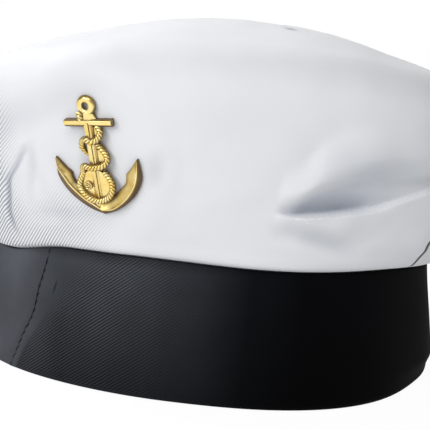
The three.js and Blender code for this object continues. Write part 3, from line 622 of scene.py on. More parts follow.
def roll(distance):
    """How far a sewn edge has turned inwards at a distance from its seam, as a quarter circle."""
    inside = np.clip(edge_roll - distance, 0, edge_roll)
    return edge_roll - np.sqrt(edge_roll ** 2 - inside ** 2)


def soft_unevenness(points):
    """Small hollows and swellings, the same on both sides of a seam because they follow the place."""
    found = np.zeros(len(points))
    for to_a_metre, start, size in (broad_unevenness, fine_unevenness):
        found += [size * noise.noise(place) for place in points * to_a_metre + start]
    return found


# %% Where the crown is shaded
# Folds in white cloth hold more shade than a lamp's light alone gives, so the lost light is kept with
# each point. First places where the top's seam puckers: azimuth, half length in degrees, reach in mm,
# shade. Then broad soft shades: azimuth, place along the section, half length, reach, shade.
top_seam_marks = [(34.5, 3.4, 10, 0.75), (-23, 2.5, 3.5, 0.40), (50, 9, 2.2, 0.18), (-12, 6, 1.5, 0.20)]
soft_shades = [(72, 0.245, 44, 0.09, 0.26), (40, 0.175, 15, 0.06, 0.26), (30.6, 0.515, 2.2, 0.022, 0.9)]
hollow_shade_width = 0.7


def crease_shade(crease, azimuth, along):
    """A crease's shade: long above its lowest line, where the cloth overhangs, and short below it."""
    at, _, strength, spread = crease_rows(crease)
    turned, away, here = beside_crease(crease, azimuth, along)
    away = away / (follow(at, spread, turned) * mm)
    depth, over, under = crease["shade"]
    falling = np.where(away > 0, 1 - smoothstep(away / over), 1 - smoothstep(-away / under))
    if "shade_course" in crease:
        course = follow(*np.array(crease["shade_course"]).T, turned)
    else:
        course = follow(at, strength * spread, turned)
    return depth * falling * course * here


def crown_shade(azimuth, along):
    """How much of the light each place in a crease, a hollow or a puckered seam has lost, from 0 to 1."""
    shade = np.zeros_like(along)
    for crease in round_creases.values():
        shade = shade + crease_shade(crease, azimuth, along)
    for hollow in upright_hollows.values():
        width = hollow_shade_width * hollow["width"]
        shade = shade + hollow["shade"] * hollow_strength(hollow, azimuth, along, width)
    from_top = from_top_seam(azimuth, along) / mm
    for at, half_length, reach, depth in top_seam_marks:
        near = bump(turn_between(azimuth, at) / half_length) * (1 - smoothstep(from_top / reach))
        shade = shade + depth * near
    for at, place, half_length, reach, depth in soft_shades:
        shade = shade + depth * bump(turn_between(azimuth, at) / half_length) * bump((along - place) / reach)
    return np.clip(shade, 0, 1)


# %% One panel of the crown
thread_width = 1.3 * mm
# The cloth lies calm within these distances: of a seam, of the badge and of the band.
calm_by_seam, calm_by_badge, calm_beyond_badge, calm_by_band = 6 * mm, 16 * mm, 14 * mm, 4 * mm
# Where the top's middle begins, as a share of the section, and over how much of it the cloth levels out.
middle_start, middle_blend = 0.96, 0.02
# Where the ribs are pressed flat beside the badge: azimuth, half length, place, reach.
pressed_azimuth, pressed_length, pressed_place, pressed_reach = -14.5, 7, 0.115, 0.085


def crown_panel(piece, azimuth, along, seam_distance, rim=True):
    """Wraps one flat cut round the crown, with a thickness and with edges that turn in at the seams."""
    normal = crown_normal(azimuth, along)
    in_middle = smoothstep((along - middle_start) / middle_blend)[:, None]
    normal = normal * (1 - in_middle) + np.array((0, 0, 1)) * in_middle
    normal /= np.linalg.norm(normal, axis=1, keepdims=True)
    level_normal = np.where(along[:, None] < 1e-6, normal * (1, 1, 0), normal)
    level_normal /= np.linalg.norm(level_normal, axis=1, keepdims=True)
    plain = crown_surface(azimuth, along)
    near_badge = np.linalg.norm(plain - np.array(seat_origin), axis=1)
    calm = smoothstep(seam_distance / calm_by_seam)
    calm = calm * smoothstep((near_badge - calm_by_badge) / calm_beyond_badge)
    calm = calm * smoothstep(along * section_length / calm_by_band)
    uneven = soft_unevenness(plain) * calm
    outer = plain + normal * (uneven - roll(seam_distance))[:, None]
    inner = crown_surface(azimuth, along, False) + level_normal * (uneven * calm - crown_wall)[:, None]
    move_points(piece, outer)
    apply_modifier(piece, "SOLIDIFY", thickness=crown_wall, offset=-1, use_rim=rim)
    move_points(piece, np.concatenate([outer, inner]))
    write_value(piece, "shade", np.tile(crown_shade(azimuth, along), 2))
    pressed = bump(turn_between(azimuth, pressed_azimuth) / pressed_length)
    pressed = pressed * bump((along - pressed_place) / pressed_reach)
    write_value(piece, "pressed", np.tile(np.sqrt(pressed), 2))
    side_thread = 1 - smoothstep(from_side_seam(azimuth) / thread_width - 0.3)
    write_value(piece, "thread", np.tile(side_thread * (along < top_seam_at(azimuth)), 2))


# %% The crown's two side panels
seam_turn = math.degrees(gap / band_width)
# The columns lie closer together at both ends: share of the columns, share of the way round.
column_places = np.array([(0, 0), (0.03, 0.008), (0.97, 0.992), (1, 1)])
# The rows of a side panel lie closest together where its creases are: share of the rows, share of the
# way up to the top seam.
row_spacing = {"crown_front": [(0, 0), (0.05, 0.012), (0.14, 0.08), (0.60, 0.33), (0.94, 0.97), (1, 1)],
               "crown_back": [(0, 0), (0.06, 0.02), (0.94, 0.98), (1, 1)]}
# The crown's front was cut a little askew, so its ribs lean differently as they go round: azimuth, and
# how much the cloth is sheared there.
weave_shear = np.array([(-60, 0), (-32, 0.27), (-23, 0.25), (-10, -0.14), (0, -0.22), (15, -0.22), (40, 0)])
fine_turns = np.linspace(-180, 180, 1441)
shear_there = np.interp(fine_turns, weave_shear[:, 0], weave_shear[:, 1], 0, 0)
shear_sum = np.cumsum(shear_there) * math.radians(fine_turns[1] - fine_turns[0]) * crown_width / 2


def weave_shift(azimuth):
    return np.interp(turn_between(azimuth, 0), fine_turns, shear_sum - shear_sum[len(shear_sum) // 2])


side_pieces = []
for name, start, end, columns, rows in (
    ("crown_front", -side_seam_azimuth + seam_turn, side_seam_azimuth - seam_turn, 340, 132),
    ("crown_back", side_seam_azimuth + seam_turn, 360 - side_seam_azimuth - seam_turn, 330, 96),
):
    panel, across, upwards = flat_cut(name, columns, rows)
    azimuth = start + (end - start) * np.interp(across, *column_places.T)
    top = top_seam_at(azimuth) - seam_slack(azimuth)
    along = top * np.interp(upwards, *np.array(row_spacing[name]).T)
    lay_weave(panel, np.radians(azimuth) * crown_width / 2, along * section_length + weave_shift(azimuth))
    crown_panel(panel, azimuth, along, np.minimum(from_side_seam(azimuth), from_top_seam(azimuth, along)))
    smooth(panel)
    tell_size(panel)
    side_pieces.append(panel)
crown_front, crown_back = side_pieces

# %% [markdown]
# The top of a cap is one oval piece, sewn to the side panels round its edge. A disc could be draped over
# the form, but its rows would then cross the seam at a slant. Here the grid runs round and inwards, so
# that its first row follows the seam and its last row closes in the middle.

# %% The crown's top
top_seam_slacks = 2.4
# The rows lie closer together beside the seam: share of the rows, share of the way to the middle.
row_places = np.array([(0, 0), (0.05, 0.015), (1, 1)])
crown_top, across, inwards = flat_cut("crown_top_cloth", 360, 84)
azimuth = across * 360
start = top_seam_at(azimuth) + top_seam_slacks * seam_slack(azimuth)
along = start + (1 - start) * np.interp(inwards, *row_places.T)
flat_place = crown_surface(azimuth, along)
lay_weave(crown_top, flat_place[:, 0], flat_place[:, 1])
crown_panel(crown_top, azimuth, along, from_top_seam(azimuth, along), rim=False)
in_edit_mode(crown_top, merge_only, join_open_edges)
smooth(crown_top)
tell_size(crown_top)

# %% [markdown]
# ## The band
# The band is a strip of black twill folded over a stiff core. Its section is a closed loop: up the
# outer face, over the top, down the inner face and round the hem. The grid's rows follow that loop, so
# the hem is round and the wall has its thickness without a modifier.

# %% The band's section
# Columns: place round the loop, how far in from the face in walls, share of the height, lift in walls.
hem_loop = np.array([
    (0.000, 0.50, 0, 0.00), (0.020, 0.30, 0, 0.00), (0.040, 0.16, 0, 0.05), (0.060, 0.05, 0, 0.20),
    (0.080, 0.00, 0, 0.45), (0.480, 0.00, 0.985, 0.00), (0.490, 0.04, 0.997, 0.00),
    (0.500, 0.12, 1, 0.00), (0.530, 0.88, 1, 0.00), (0.540, 0.96, 0.997, 0.00),
    (0.550, 1.00, 0.985, 0.00), (0.920, 1.00, 0, 0.45), (0.940, 0.95, 0, 0.20),
    (0.960, 0.84, 0, 0.05), (0.980, 0.70, 0, 0.00), (1.000, 0.50, 0, 0.00),
])
# The rows lie closest round the hem and over the upper edge: where each stretch ends, and its rows.
stretches = [(0, 0.08, 12), (0.08, 0.48, 51), (0.48, 0.55, 10), (0.55, 0.92, 19), (0.92, 1, 8)]
row_places = np.concatenate([[0], *(np.linspace(low, high, rows + 1)[1:] for low, high, rows in stretches)])
# The grid's columns lean as the join does and lie closest beside it: share of the columns, degrees from
# the join.
column_spacing = np.array([(0, -20), (0.025, -2.6), (0.05, -0.6), (0.075, 0.6), (0.09, 3.8), (0.11, 5.2),
                           (1, 340)])
print("rows round the band's section:", len(row_places) - 1)

# %% The band's cloth
stitch_length, stitch_gap = 1.5 * mm, 1.1 * mm
stitch_pitch = stitch_length + stitch_gap
pull, pull_width = 0.16 * mm, 1.5 * mm
unevenness, uneven_count = 0.25 * mm, 5
outer_face_share = 0.40
band_piece, across, upwards = flat_cut("band_cloth", 580, len(row_places) - 1)
place = row_places[np.rint(upwards * (len(row_places) - 1)).astype(int)]
inset, share, lift = (np.interp(place, hem_loop[:, 0], hem_loop[:, i]) for i in (1, 2, 3))
azimuth = join_at(share) + np.interp(across, *column_spacing.T)
offset = join_offset(azimuth, share)
stitch_wave = np.cos(2 * math.pi * share * band_height / stitch_pitch)
pulled = pull * np.exp(-(offset / pull_width) ** 2) * stitch_wave
uneven = unevenness * np.sin(np.radians(azimuth * uneven_count + 30)) * bump((share - 0.5) * 2)
radius = band_radius(azimuth, share) - inset * band_wall + (pulled + uneven) * (1 - np.clip(inset, 0, 1))
height = share * band_top(azimuth) + lift * band_wall
lay_weave(band_piece, np.radians(azimuth) * band_width / 2, place * band_height / outer_face_share)
move_points(band_piece, polar(azimuth, radius, height))

# %% Where the band's ribs are flat, and its two dark lines
# Beside the join the iron has pressed the ribs flat, over more of the cloth near the crown. A short
# second line is painted shade along the edge of the turned-in end that lies behind the cloth.
flat_low, flat_more, flat_beyond = 3 * mm, 17 * mm, 12 * mm
line_width, second_width, second_offset = 0.32 * mm, 0.4 * mm, 6.8 * mm
second_share, second_reach, second_strength = 0.69, 0.08, 0.7
flat_width = flat_low + flat_more * np.clip(share, 0, 1) ** 1.5
pressed = smoothstep(1.5 - offset / flat_width) * smoothstep(4 + offset / flat_beyond)
write_value(band_piece, "pressed", pressed)
join_line = np.exp(-(offset / line_width) ** 2) * (0.55 + 0.45 * stitch_wave)
turned_in_edge_shade = np.exp(-((offset - second_offset) / second_width) ** 2)
turned_in_edge_shade = second_strength * turned_in_edge_shade * bump((share - second_share) / second_reach)
write_value(band_piece, "line", np.maximum(join_line, turned_in_edge_shade))
in_edit_mode(band_piece, merge_and_turn_out)
smooth(band_piece)
tell_size(band_piece)

# %% [markdown]
# The band's ends are sewn together beside the badge. Each stitch is a short thread that dips into the
# cloth at both ends, modelled once and copied along the join.

# %% Stitches of the band's join
stitch_width, stitch_rise, stitch_lift = 0.34 * mm, 0.30 * mm, 0.10 * mm
lowest_stitch, join_ends, next_share = 3 * mm, 5 * mm, 0.02
deselect()
bpy.ops.mesh.primitive_uv_sphere_add(segments=8, ring_count=6, radius=0.5)
join_stitches = bpy.context.object
join_stitches.name = join_stitches.data.name = "join_stitches"
one = points_of(join_stitches) * (stitch_width, stitch_rise, stitch_length)
one_faces = [list(p.vertices) for p in join_stitches.data.polygons]
all_points, all_faces = [], []
stitch_count = int((band_height - join_ends) / stitch_pitch)
for index in range(stitch_count):
    share = (lowest_stitch + (index + 0.5) * stitch_pitch) / band_height
    above = share + next_share
    at, next_at = join_at(share), join_at(above)
    spot = polar(at, band_radius(at, share) + stitch_lift, share * band_top(at))
    next_spot = polar(next_at, band_radius(next_at, above), above * band_top(next_at))
    up = (next_spot - spot) / np.linalg.norm(next_spot - spot)
    out = polar(at, 1.0, 0.0)
    side = np.cross(up, out)
    all_faces += [[corner + len(all_points) * len(one) for corner in face] for face in one_faces]
    all_points.append(spot + one[:, :1] * side + one[:, 1:2] * out + one[:, 2:] * up)
stitch_mesh = bpy.data.meshes.new("join_stitches")
stitch_mesh.from_pydata(np.concatenate(all_points).tolist(), [], all_faces)
join_stitches.data = stitch_mesh
smooth(join_stitches, 80)
print("stitches on the join:", stitch_count)

# %% [markdown]
# ## The badge
# The badge is one small casting, about 26 by 34 mm. It is built flat, with x to the wearer's left, y
# up and z out of the cloth, and each finished part is then carried to its seat on the crown. A rolled
# grid makes every part that follows a path: its rows go along the path and its columns round it.

# %% Helpers for the casting
half = badge_width / 2
badge_pieces = []


def onto_cap(piece):
    """Carries a part from the drawing board to the badge's seat on the crown."""
    piece.data.transform(Matrix.Translation((0, 0, gap)))
    piece.data.transform(badge_seat)
    badge_pieces.append(piece)
    return piece


def nearest_corner(turn_share, count):
    """Which corner of a section each point of a rolled grid belongs to."""
    return np.rint(turn_share * count).astype(int) % count


def rolled_tube(name, around, lengthwise, place_points, angle=35, stain_and_shade_share=None):
    """Rolls a flat grid into a tube along a path, closes its ends and turns its faces out."""
    piece, turn_share, way = flat_cut(name, around, lengthwise)
    lay_weave(piece, turn_share, way)
    move_points(piece, place_points(turn_share, way))
    # The brown share kept with each point is stain and painted shade in the rope's grooves, and painted shade
    # and dark reflection on the arms' bevels and the stock's facets.
    if stain_and_shade_share:
        write_value(piece, "stain_and_shade_share", stain_and_shade_share(turn_share, way))
    in_edit_mode(piece, merge_only, close_open_ends, merge_and_turn_out)
    smooth(piece, angle)
    return piece


# %% [markdown]
# The arms are the widest part of the casting: a dark outer bevel, a bright ridge and a hollow inner
# face that darkens towards its edge. Both arms are one grid rolled from tip to tip, whose section
# follows a table, because extruding one section would give every place the same width.

# %% The sections of the arms
# From a tip to the middle: outer edge x and y, ridge x and y, inner edge x and y, rise of the ridge.
arm_sections = np.array([
    (0.958, -0.001, 0.950, -0.012, 0.934, -0.012, 0.35), (0.987, -0.070, 0.938, -0.077, 0.769, -0.087, 0.80),
    (1.000, -0.145, 0.871, -0.145, 0.636, -0.144, 1.00), (0.975, -0.190, 0.820, -0.185, 0.635, -0.165, 1.00),
    (0.930, -0.231, 0.769, -0.222, 0.600, -0.210, 1.00), (0.768, -0.324, 0.604, -0.300, 0.482, -0.256, 1.00),
    (0.496, -0.413, 0.390, -0.373, 0.320, -0.315, 1.00), (0.254, -0.465, 0.204, -0.413, 0.156, -0.355, 1.00),
    (0.000, -0.495, 0.000, -0.440, 0.000, -0.365, 1.00),
])
ridge_steps = np.hypot(np.diff(arm_sections[:, 2]) * half, np.diff(arm_sections[:, 3]) * badge_height)
arm_at = np.concatenate([[0], np.cumsum(ridge_steps)]) / np.sum(ridge_steps)
# Corners round an arm's section: place, height in edges, height in ridge rises, brownness. The place is
# 0 at the outer edge, 1 on the ridge and 2 at the inner edge. The brownness is painted shade and painted
# dark reflection on the outer bevel and at the inner edge.
arm_corners = np.array([
    (0.0, 0.0, 0.0, 0.9), (0.0, 0.6, 0.0, 0.9), (0.70, 0.9, 0.62, 0.75), (0.84, 1.0, 0.93, 0.0),
    (1.04, 1.0, 1.0, 0.0), (1.20, 1.0, 0.72, 0.30), (1.60, 1.0, 0.45, 0.32), (1.92, 1.0, 0.18, 0.62),
    (2.0, 0.5, 0.0, 0.9), (2.0, 0.0, 0.0, 0.9),
])
# The outer bevel is wide on the first arm and narrow on the second.
first_bevel, second_bevel, bevel_change = 1.5, 0.6, 0.2


# %% The anchor's arms
def arm_points(turn_share, way):
    """Sections of both arms from tip to tip: foot, outer bevel, ridge, inner face and foot again."""
    side = np.where(way < 0.5, -1.0, 1.0)
    along_arm = 1 - np.abs(2 * way - 1)
    ox, oy, rx, ry, ix, iy, rise_share = (follow(arm_at, arm_sections[:, i], along_arm) for i in range(7))
    change = smoothstep((way - 0.5) / bevel_change + 0.5)
    bevel_width = first_bevel + (second_bevel - first_bevel) * change
    rx, ry = ox + (rx - ox) * bevel_width, oy + (ry - oy) * bevel_width
    place, edges, rises, _ = arm_corners[nearest_corner(turn_share, len(arm_corners))].T
    to_ridge, inwards = np.clip(place, 0, 1), np.clip(place - 1, 0, 1)
    flat_x = (ox + (rx - ox) * to_ridge + (ix - rx) * inwards) * side * half
    flat_y = (oy + (ry - oy) * to_ridge + (iy - ry) * inwards) * badge_height
    return np.stack([flat_x, flat_y, edges * badge_edge + rises * (badge_ridge - badge_edge) * rise_share], 1)


def arm_stain_and_shade(turn_share, way):
    return arm_corners[nearest_corner(turn_share, len(arm_corners)), 3]


arms = onto_cap(rolled_tube("badge_arms", len(arm_corners), 120, arm_points, 25, arm_stain_and_shade))
tell_size(arms)

# %% [markdown]
# The shank, the stock and the collar under the ring are straight bars with facets. Each is a short
# rolled tube with the corners of its section, and Bevel wears its edges round, as polishing does.


# %% The shank, the stock and the collar
def cast_bar(name, start, end, section, scale_start, scale_end, bevel, brownness=None):
    """A straight bar with a section given by its corners, and worn, rounded edges."""
    start, end = np.array(start) * (half, badge_height), np.array(end) * (half, badge_height)
    way_on = (end - start) / np.linalg.norm(end - start)
    across = np.array((way_on[1], -way_on[0]))
    corners = np.array(section, float) * mm

    def points(turn_share, way):
        step = nearest_corner(turn_share, len(corners))
        scale = scale_start + (scale_end - scale_start) * way
        middle = start + (end - start) * way[:, None]
        flat = middle + across * (corners[step, 0] * scale)[:, None]
        return np.column_stack([flat, corners[step, 1]])

    def stain_and_shade(turn_share, way):
        return np.array(brownness)[nearest_corner(turn_share, len(corners))]

    piece = rolled_tube(name, len(corners), 1, points, stain_and_shade_share=stain_and_shade if brownness else None)
    apply_modifier(piece, "BEVEL", width=bevel, segments=3, limit_method="ANGLE", angle_limit=worn_angle)
    smooth(piece, 50)
    onto_cap(piece)
    tell_size(piece)


worn_angle = math.radians(25)
# Sections, in mm: across the bar and out of the cloth. The shank's wide facet is on its left. A bar's
# ends are shares of the badge's half-width and height.
shank_section = [(-1.25, 0), (-1.25, 1.7), (0.30, 2.4), (0.42, 1.9), (0.72, 1.9), (1.25, 1.2), (1.25, 0)]
cast_bar("badge_shank", (-0.015, -0.330), (-0.005, 0.290), shank_section, 1.1, 1.0, 0.12 * mm)
stock_section = [(-1.0, 0), (-1.0, 1.5), (-0.72, 2.1), (0.22, 2.1), (0.46, 1.95), (1.0, 1.3), (1.0, 0)]
# The stock's brownness is painted shade and painted dark reflection on its side facets, above and below its
# bright middle.
stock_brownness = [0.9, 0.8, 0.0, 0.0, 0.7, 0.8, 0.9]
cast_bar("badge_stock", (-0.54, 0.286), (0.54, 0.286), stock_section, 1, 1, 0.08 * mm, stock_brownness)
collar_section = [(-2.8, 0), (-2.8, 0.8), (-1.1, 1.6), (1.1, 1.6), (2.8, 0.8), (2.8, 0)]
cast_bar("badge_collar", (-0.02, 0.300), (-0.02, 0.375), collar_section, 1, 0.5, 0.14 * mm)

# %% [markdown]
# The ring is a turned shape with a nearly flat face and a rounded rim. A torus has a round section, so
# a profile is drawn instead and spun round the middle of the ring's hole.

# %% The ring
ring_middle = Vector((-0.015 * half, badge_height / 2 - 2.8 * mm, 0))
ring_profile = np.array([(0.88, 0.0), (0.86, 0.9), (1.00, 1.30), (1.25, 1.48), (1.8, 1.54), (2.25, 1.45),
                         (2.60, 1.0), (2.8, 0.5), (2.8, 0.0)]) * mm
deselect()
bpy.ops.mesh.primitive_circle_add(vertices=len(ring_profile), radius=1)
ring = bpy.context.object
ring.name = ring.data.name = "badge_ring"
out_from_hole, ring_rise = ring_profile.T
move_points(ring, np.column_stack([out_from_hole + ring_middle.x, 0 * ring_rise + ring_middle.y, ring_rise]))


def spin_round_ring():
    bpy.ops.mesh.spin(steps=64, angle=2 * math.pi, center=ring_middle, axis=(0, 0, 1))
    bpy.ops.mesh.select_all(action="SELECT")


in_edit_mode(ring, spin_round_ring, merge_and_turn_out)
apply_modifier(ring, "SUBSURF", levels=1, render_levels=1)
smooth(ring, 60)
onto_cap(ring)
print("the ring has", len(ring.data.polygons), "faces")

# %% [markdown]
# A cast rope winds down the shank. Three strands could be modelled one by one, but at this size a
# single tube reads the same: its section has three lobes and turns as it goes along.

# %% The rope's course
# Columns: x as a share of the half-width, y as a share of the height, lift as a share of the ridge.
rope_paths = {
    "badge_rope_upper": [
        (0.175, 0.262, 0.5), (0.235, 0.213, 0.6), (0.165, 0.160, 0.9), (0.040, 0.146, 1.2),
        (-0.090, 0.160, 1.0), (-0.205, 0.138, 0.6), (-0.245, 0.094, 0.5), (-0.205, 0.053, 0.45),
        (-0.120, 0.018, 0.35),
    ],
    "badge_rope_lower": [
        (0.100, 0.112, 0.35), (0.200, 0.074, 0.5), (0.290, 0.022, 0.55), (0.290, -0.025, 0.7),
        (0.185, -0.058, 1.1), (-0.030, -0.070, 1.25), (-0.240, -0.064, 0.9), (-0.305, -0.095, 0.65),
        (-0.325, -0.135, 0.6),
        (-0.400, -0.185, 0.7), (-0.430, -0.235, 0.8), (-0.360, -0.295, 0.9), (-0.205, -0.340, 1.0),
        (-0.010, -0.358, 1.05), (0.200, -0.330, 1.0), (0.330, -0.265, 0.9), (0.325, -0.200, 0.7),
        (0.240, -0.150, 0.55), (0.150, -0.118, 0.4),
    ],
    "badge_rope_tie": [(-0.185, 0.372, 0.55), (-0.160, 0.345, 0.65), (-0.150, 0.310, 0.65)],
}


def smooth_path(points, count, fine_steps=40):
    """Even places along a smooth curve through the points, and how far along each lies."""
    points = np.array(points, float)
    ends = np.concatenate([[2 * points[0] - points[1]], points, [2 * points[-1] - points[-2]]])
    fine = []
    for i in range(len(points) - 1):
        a, b, c, d = ends[i:i + 4]
        t = np.linspace(0, 1, fine_steps, endpoint=False)[:, None]
        fine.append(0.5 * (2 * b + (c - a) * t + (2 * a - 5 * b + 4 * c - d) * t ** 2
                           + (3 * b - a - 3 * c + d) * t ** 3))
    fine = np.concatenate([*fine, points[-1:]])
    length = np.concatenate([[0], np.cumsum(np.linalg.norm(np.diff(fine, axis=0), axis=1))])
    even = np.linspace(0, length[-1], count)
    return np.column_stack([np.interp(even, length, fine[:, i]) for i in range(3)]), even


# %% The rope's strands
strand_count, strand_pitch, strand_relief = 3, 2.7 * mm, 0.24
row_length, thinned = 0.16 * mm, 0.55


def twisted_rope(name, points, diameter, tail=0.0):
    """A rope of three strands: a lobed section that turns as it goes along the path."""
    path_length = smooth_path(points, 200)[1][-1]
    rows = int(path_length / row_length)
    middles, even = smooth_path(points, rows + 1)
    ahead = np.gradient(middles, axis=0)
    ahead /= np.linalg.norm(ahead, axis=1, keepdims=True)
    across = np.cross(ahead, (0, 0, 1.0))
    across /= np.linalg.norm(across, axis=1, keepdims=True)
    upright = np.cross(across, ahead)
    taper = np.ones(rows + 1)
    if tail:
        taper -= thinned * smoothstep((even - path_length * (1 - tail)) / (path_length * tail))

    def between_strands(turn_share, way):
        """1 in the grooves between two strands, 0 on top of each."""
        row = np.rint(way * rows).astype(int)
        phase = strand_count / 2 * (2 * math.pi * turn_share - 2 * math.pi * even[row] / strand_pitch)
        return 1 - np.abs(np.sin(phase)) ** 0.7

    def points_of_rope(turn_share, way):
        row = np.rint(way * rows).astype(int)
        angle = 2 * math.pi * turn_share
        radius = diameter / 2 * taper[row] * (1 - strand_relief * between_strands(turn_share, way))
        offset = across[row] * np.cos(angle)[:, None] + upright[row] * np.sin(angle)[:, None]
        return middles[row] + offset * radius[:, None]

    tell_size(onto_cap(rolled_tube(name, 24, rows, points_of_rope, 60, between_strands)))


thin_tails = {"badge_rope_upper": 0.25}
for name, table_rows in rope_paths.items():
    route = [(x * half, y * badge_height, lift * badge_ridge) for x, y, lift in table_rows]
    twisted_rope(name, route, rope_diameter, thin_tails.get(name, 0.0))

# %% The rope's end, coiled up beside the shank
coil_x, coil_y, coil_lift = -0.230 * half, -0.223 * badge_height, 0.8 * badge_ridge + 0.30 * mm
coil_outer, coil_inner, coil_rope = 1.20 * mm, 0.12 * mm, 0.64 * mm
coil_start, coil_end, coil_points = -2.2, 8.2, 19
coil_radii = np.linspace(coil_outer, coil_inner, coil_points)
coil_angles = np.linspace(coil_start, coil_end, coil_points)
twisted_rope("badge_rope_end", [(coil_x + r * math.cos(a), coil_y + r * math.sin(a), coil_lift)
                                for r, a in zip(coil_radii, coil_angles)], coil_rope)

# %% [markdown]
# In a real casting thin plates of metal fill the gaps behind the rope, and a short post is soldered to
# the back. It goes through the cloth and is held by a catch. All of them begin as cylinders.

# %% The web of metal that ties the casting together
# Middle x and y as shares of the badge's half-width and height, half-width and half-height as shares of
# its half-width, and thickness in ridges.
web_discs = [(-0.04, -0.235, 0.37, 0.37, 0.80), (0.15, -0.005, 0.15, 0.20, 0.55),
             (0.12, 0.20, 0.12, 0.13, 0.50)]
disc_edge = 0.12 * mm


def rounded_disc(name, middle, across, tall, thick):
    deselect()
    bpy.ops.mesh.primitive_cylinder_add(vertices=48, radius=1, depth=1)
    disc = bpy.context.object
    disc.name = disc.data.name = name
    points = points_of(disc) * (across, tall, thick) + (*middle, thick / 2)
    move_points(disc, points)
    apply_modifier(disc, "BEVEL", width=disc_edge, segments=3, limit_method="ANGLE")
    smooth(disc, 40)
    return disc


for index, (x, y, wide, tall, thick) in enumerate(web_discs):
    onto_cap(rounded_disc(f"badge_web_{index + 1}", (x * half, y * badge_height), wide * half, tall * half,
                          thick * badge_ridge))

# %% The post through the cloth
# The catch behind the cloth stays as the measured model has it, and only gets a finish.
post_diameter, post_length = 1.6 * mm, 6 * mm
post = rounded_disc("badge_post", (0, 0), post_diameter / 2, post_diameter / 2, post_length)
post.data.transform(Matrix.Translation((0, 0, -post_length)))
onto_cap(post)

# %% [markdown]
# ## Finishes
# Both cloths are twill: fine ribs that run across at a slant. Each rib is drawn from the cloth's own
# map in metres, so it has its true width, and a second, finer wave breaks the ribs into stitches.


# %% Helpers for finishes
class Finish:
    """A material with short calls for its nodes."""

    def __init__(self, name):
        self.material = bpy.data.materials.new(name)
        self.material.use_nodes = True
        self.nodes, self.links = self.material.node_tree.nodes, self.material.node_tree.links
        self.surface = self.nodes["Principled BSDF"]
        self.place = self.nodes.new("ShaderNodeTexCoord").outputs

    def feed(self, node, **inputs):
        """Gives a node's sockets, by name or as i0, i1 and so on, a value or another node's output."""
        for name, value in inputs.items():
            socket = node.inputs[int(name[1:]) if name[1:].isdigit() else name.replace("_", " ")]
            if isinstance(value, bpy.types.NodeSocket):
                self.links.new(value, socket)
            else:
                socket.default_value = value

    def set(self, **inputs):
        self.feed(self.surface, **inputs)

    def add(self, kind, settings=None, **inputs):
        node = self.nodes.new(kind)
        for name, value in (settings or {}).items():
            setattr(node, name, value)
        self.feed(node, **inputs)
        return node

    def maths(self, operation, *values):
        inputs = {f"i{index}": value for index, value in enumerate(values)}
        return self.add("ShaderNodeMath", {"operation": operation}, **inputs).outputs[0]

    def times(self, first, second):
        return self.maths("MULTIPLY", first, second)

    def wave(self, turns):
        """A wave from 0 to 1 with one crest to each turn."""
        return self.maths("MULTIPLY_ADD", self.maths("SINE", self.times(turns, 2 * math.pi)), 0.5, 0.5)

    def noise(self, vector, scale, detail=2.0):
        return self.add("ShaderNodeTexNoise", Vector=vector, Scale=scale, Detail=detail).outputs["Fac"]

    def fade(self, value, low, high, to_low, to_high):
        """Goes evenly from one number to another as a value goes from low to high."""
        node = self.add("ShaderNodeMapRange", Value=value, From_Min=low, From_Max=high,
                        To_Min=to_low, To_Max=to_high)
        return node.outputs["Result"]

    def ramp(self, value, stops):
        """A colour that follows a value from 0 to 1 through a list of places and colours."""
        node = self.add("ShaderNodeValToRGB", Fac=value)
        elements = node.color_ramp.elements
        while len(elements) < len(stops):
            elements.new(0.5)
        for element, (place, colour) in zip(elements, stops):
            element.position, element.color = place, (*colour, 1)
        return node.outputs["Color"]

    def vector_maths(self, operation, **inputs):
        return self.add("ShaderNodeVectorMath", {"operation": operation}, **inputs).outputs

    def scale(self, colour, factor):
        return self.vector_maths("SCALE", i0=colour, Scale=factor)[0]

    def mix(self, share, first, second):
        return self.add("ShaderNodeMix", {"data_type": "RGBA"}, i0=share, i6=first, i7=second).outputs[2]

    def attribute(self, name):
        return self.add("ShaderNodeAttribute", {"attribute_name": name}).outputs["Fac"]

    def emboss(self, height, strength, depth):
        node = self.add("ShaderNodeBump", Strength=strength, Distance=depth, Height=height)
        self.set(Normal=node.outputs[0])


# %% A twill's ribs
rib_wander, stitch_share, stitch_stagger = 0.25, 0.8, 0.5
stitch_height, fuzz_height = 0.3, 0.4


def twill_ribs(finish, angle, pitch):
    """The height of a twill's ribs, from 0 between them to 1 on top, and of the stitches along them."""
    split = finish.add("ShaderNodeSeparateXYZ", Vector=finish.place["UV"]).outputs
    sine, cosine = math.sin(math.radians(angle)), math.cos(math.radians(angle))
    across = finish.maths("ADD", finish.times(split[0], -sine), finish.times(split[1], cosine))
    along = finish.maths("ADD", finish.times(split[0], cosine), finish.times(split[1], sine))
    loose = finish.fade(finish.noise(finish.place["UV"], 160.0), 0, 1, -rib_wander, rib_wander)
    turns = finish.maths("ADD", finish.times(across, 1 / pitch), loose)
    steps = finish.times(along, 1 / (pitch * stitch_share))
    steps = finish.maths("ADD", steps, finish.times(turns, stitch_stagger))
    return finish.wave(turns), finish.wave(steps)


def cloth_relief(finish, ribs, stitches, fuzz, clear):
    """Ribs as far as they are clear, the stitches along them and a little fuzz."""
    relief = finish.maths("MULTIPLY_ADD", stitches, stitch_height, finish.times(ribs, clear))
    return finish.maths("MULTIPLY_ADD", fuzz, fuzz_height, relief)


# %% [markdown]
# White cotton is nearly as bright as paper, and its ribs show only where light falls along them. So the
# ribs' strength is faded by place: they are clear low down beside the badge and at the cap's side, and
# hardly seen elsewhere. The dark colour between the ribs is painted shade, and the cloth is painted a
# little brighter where the ribs are clear. The shade and the seams' thread come from the numbers kept
# with each point.

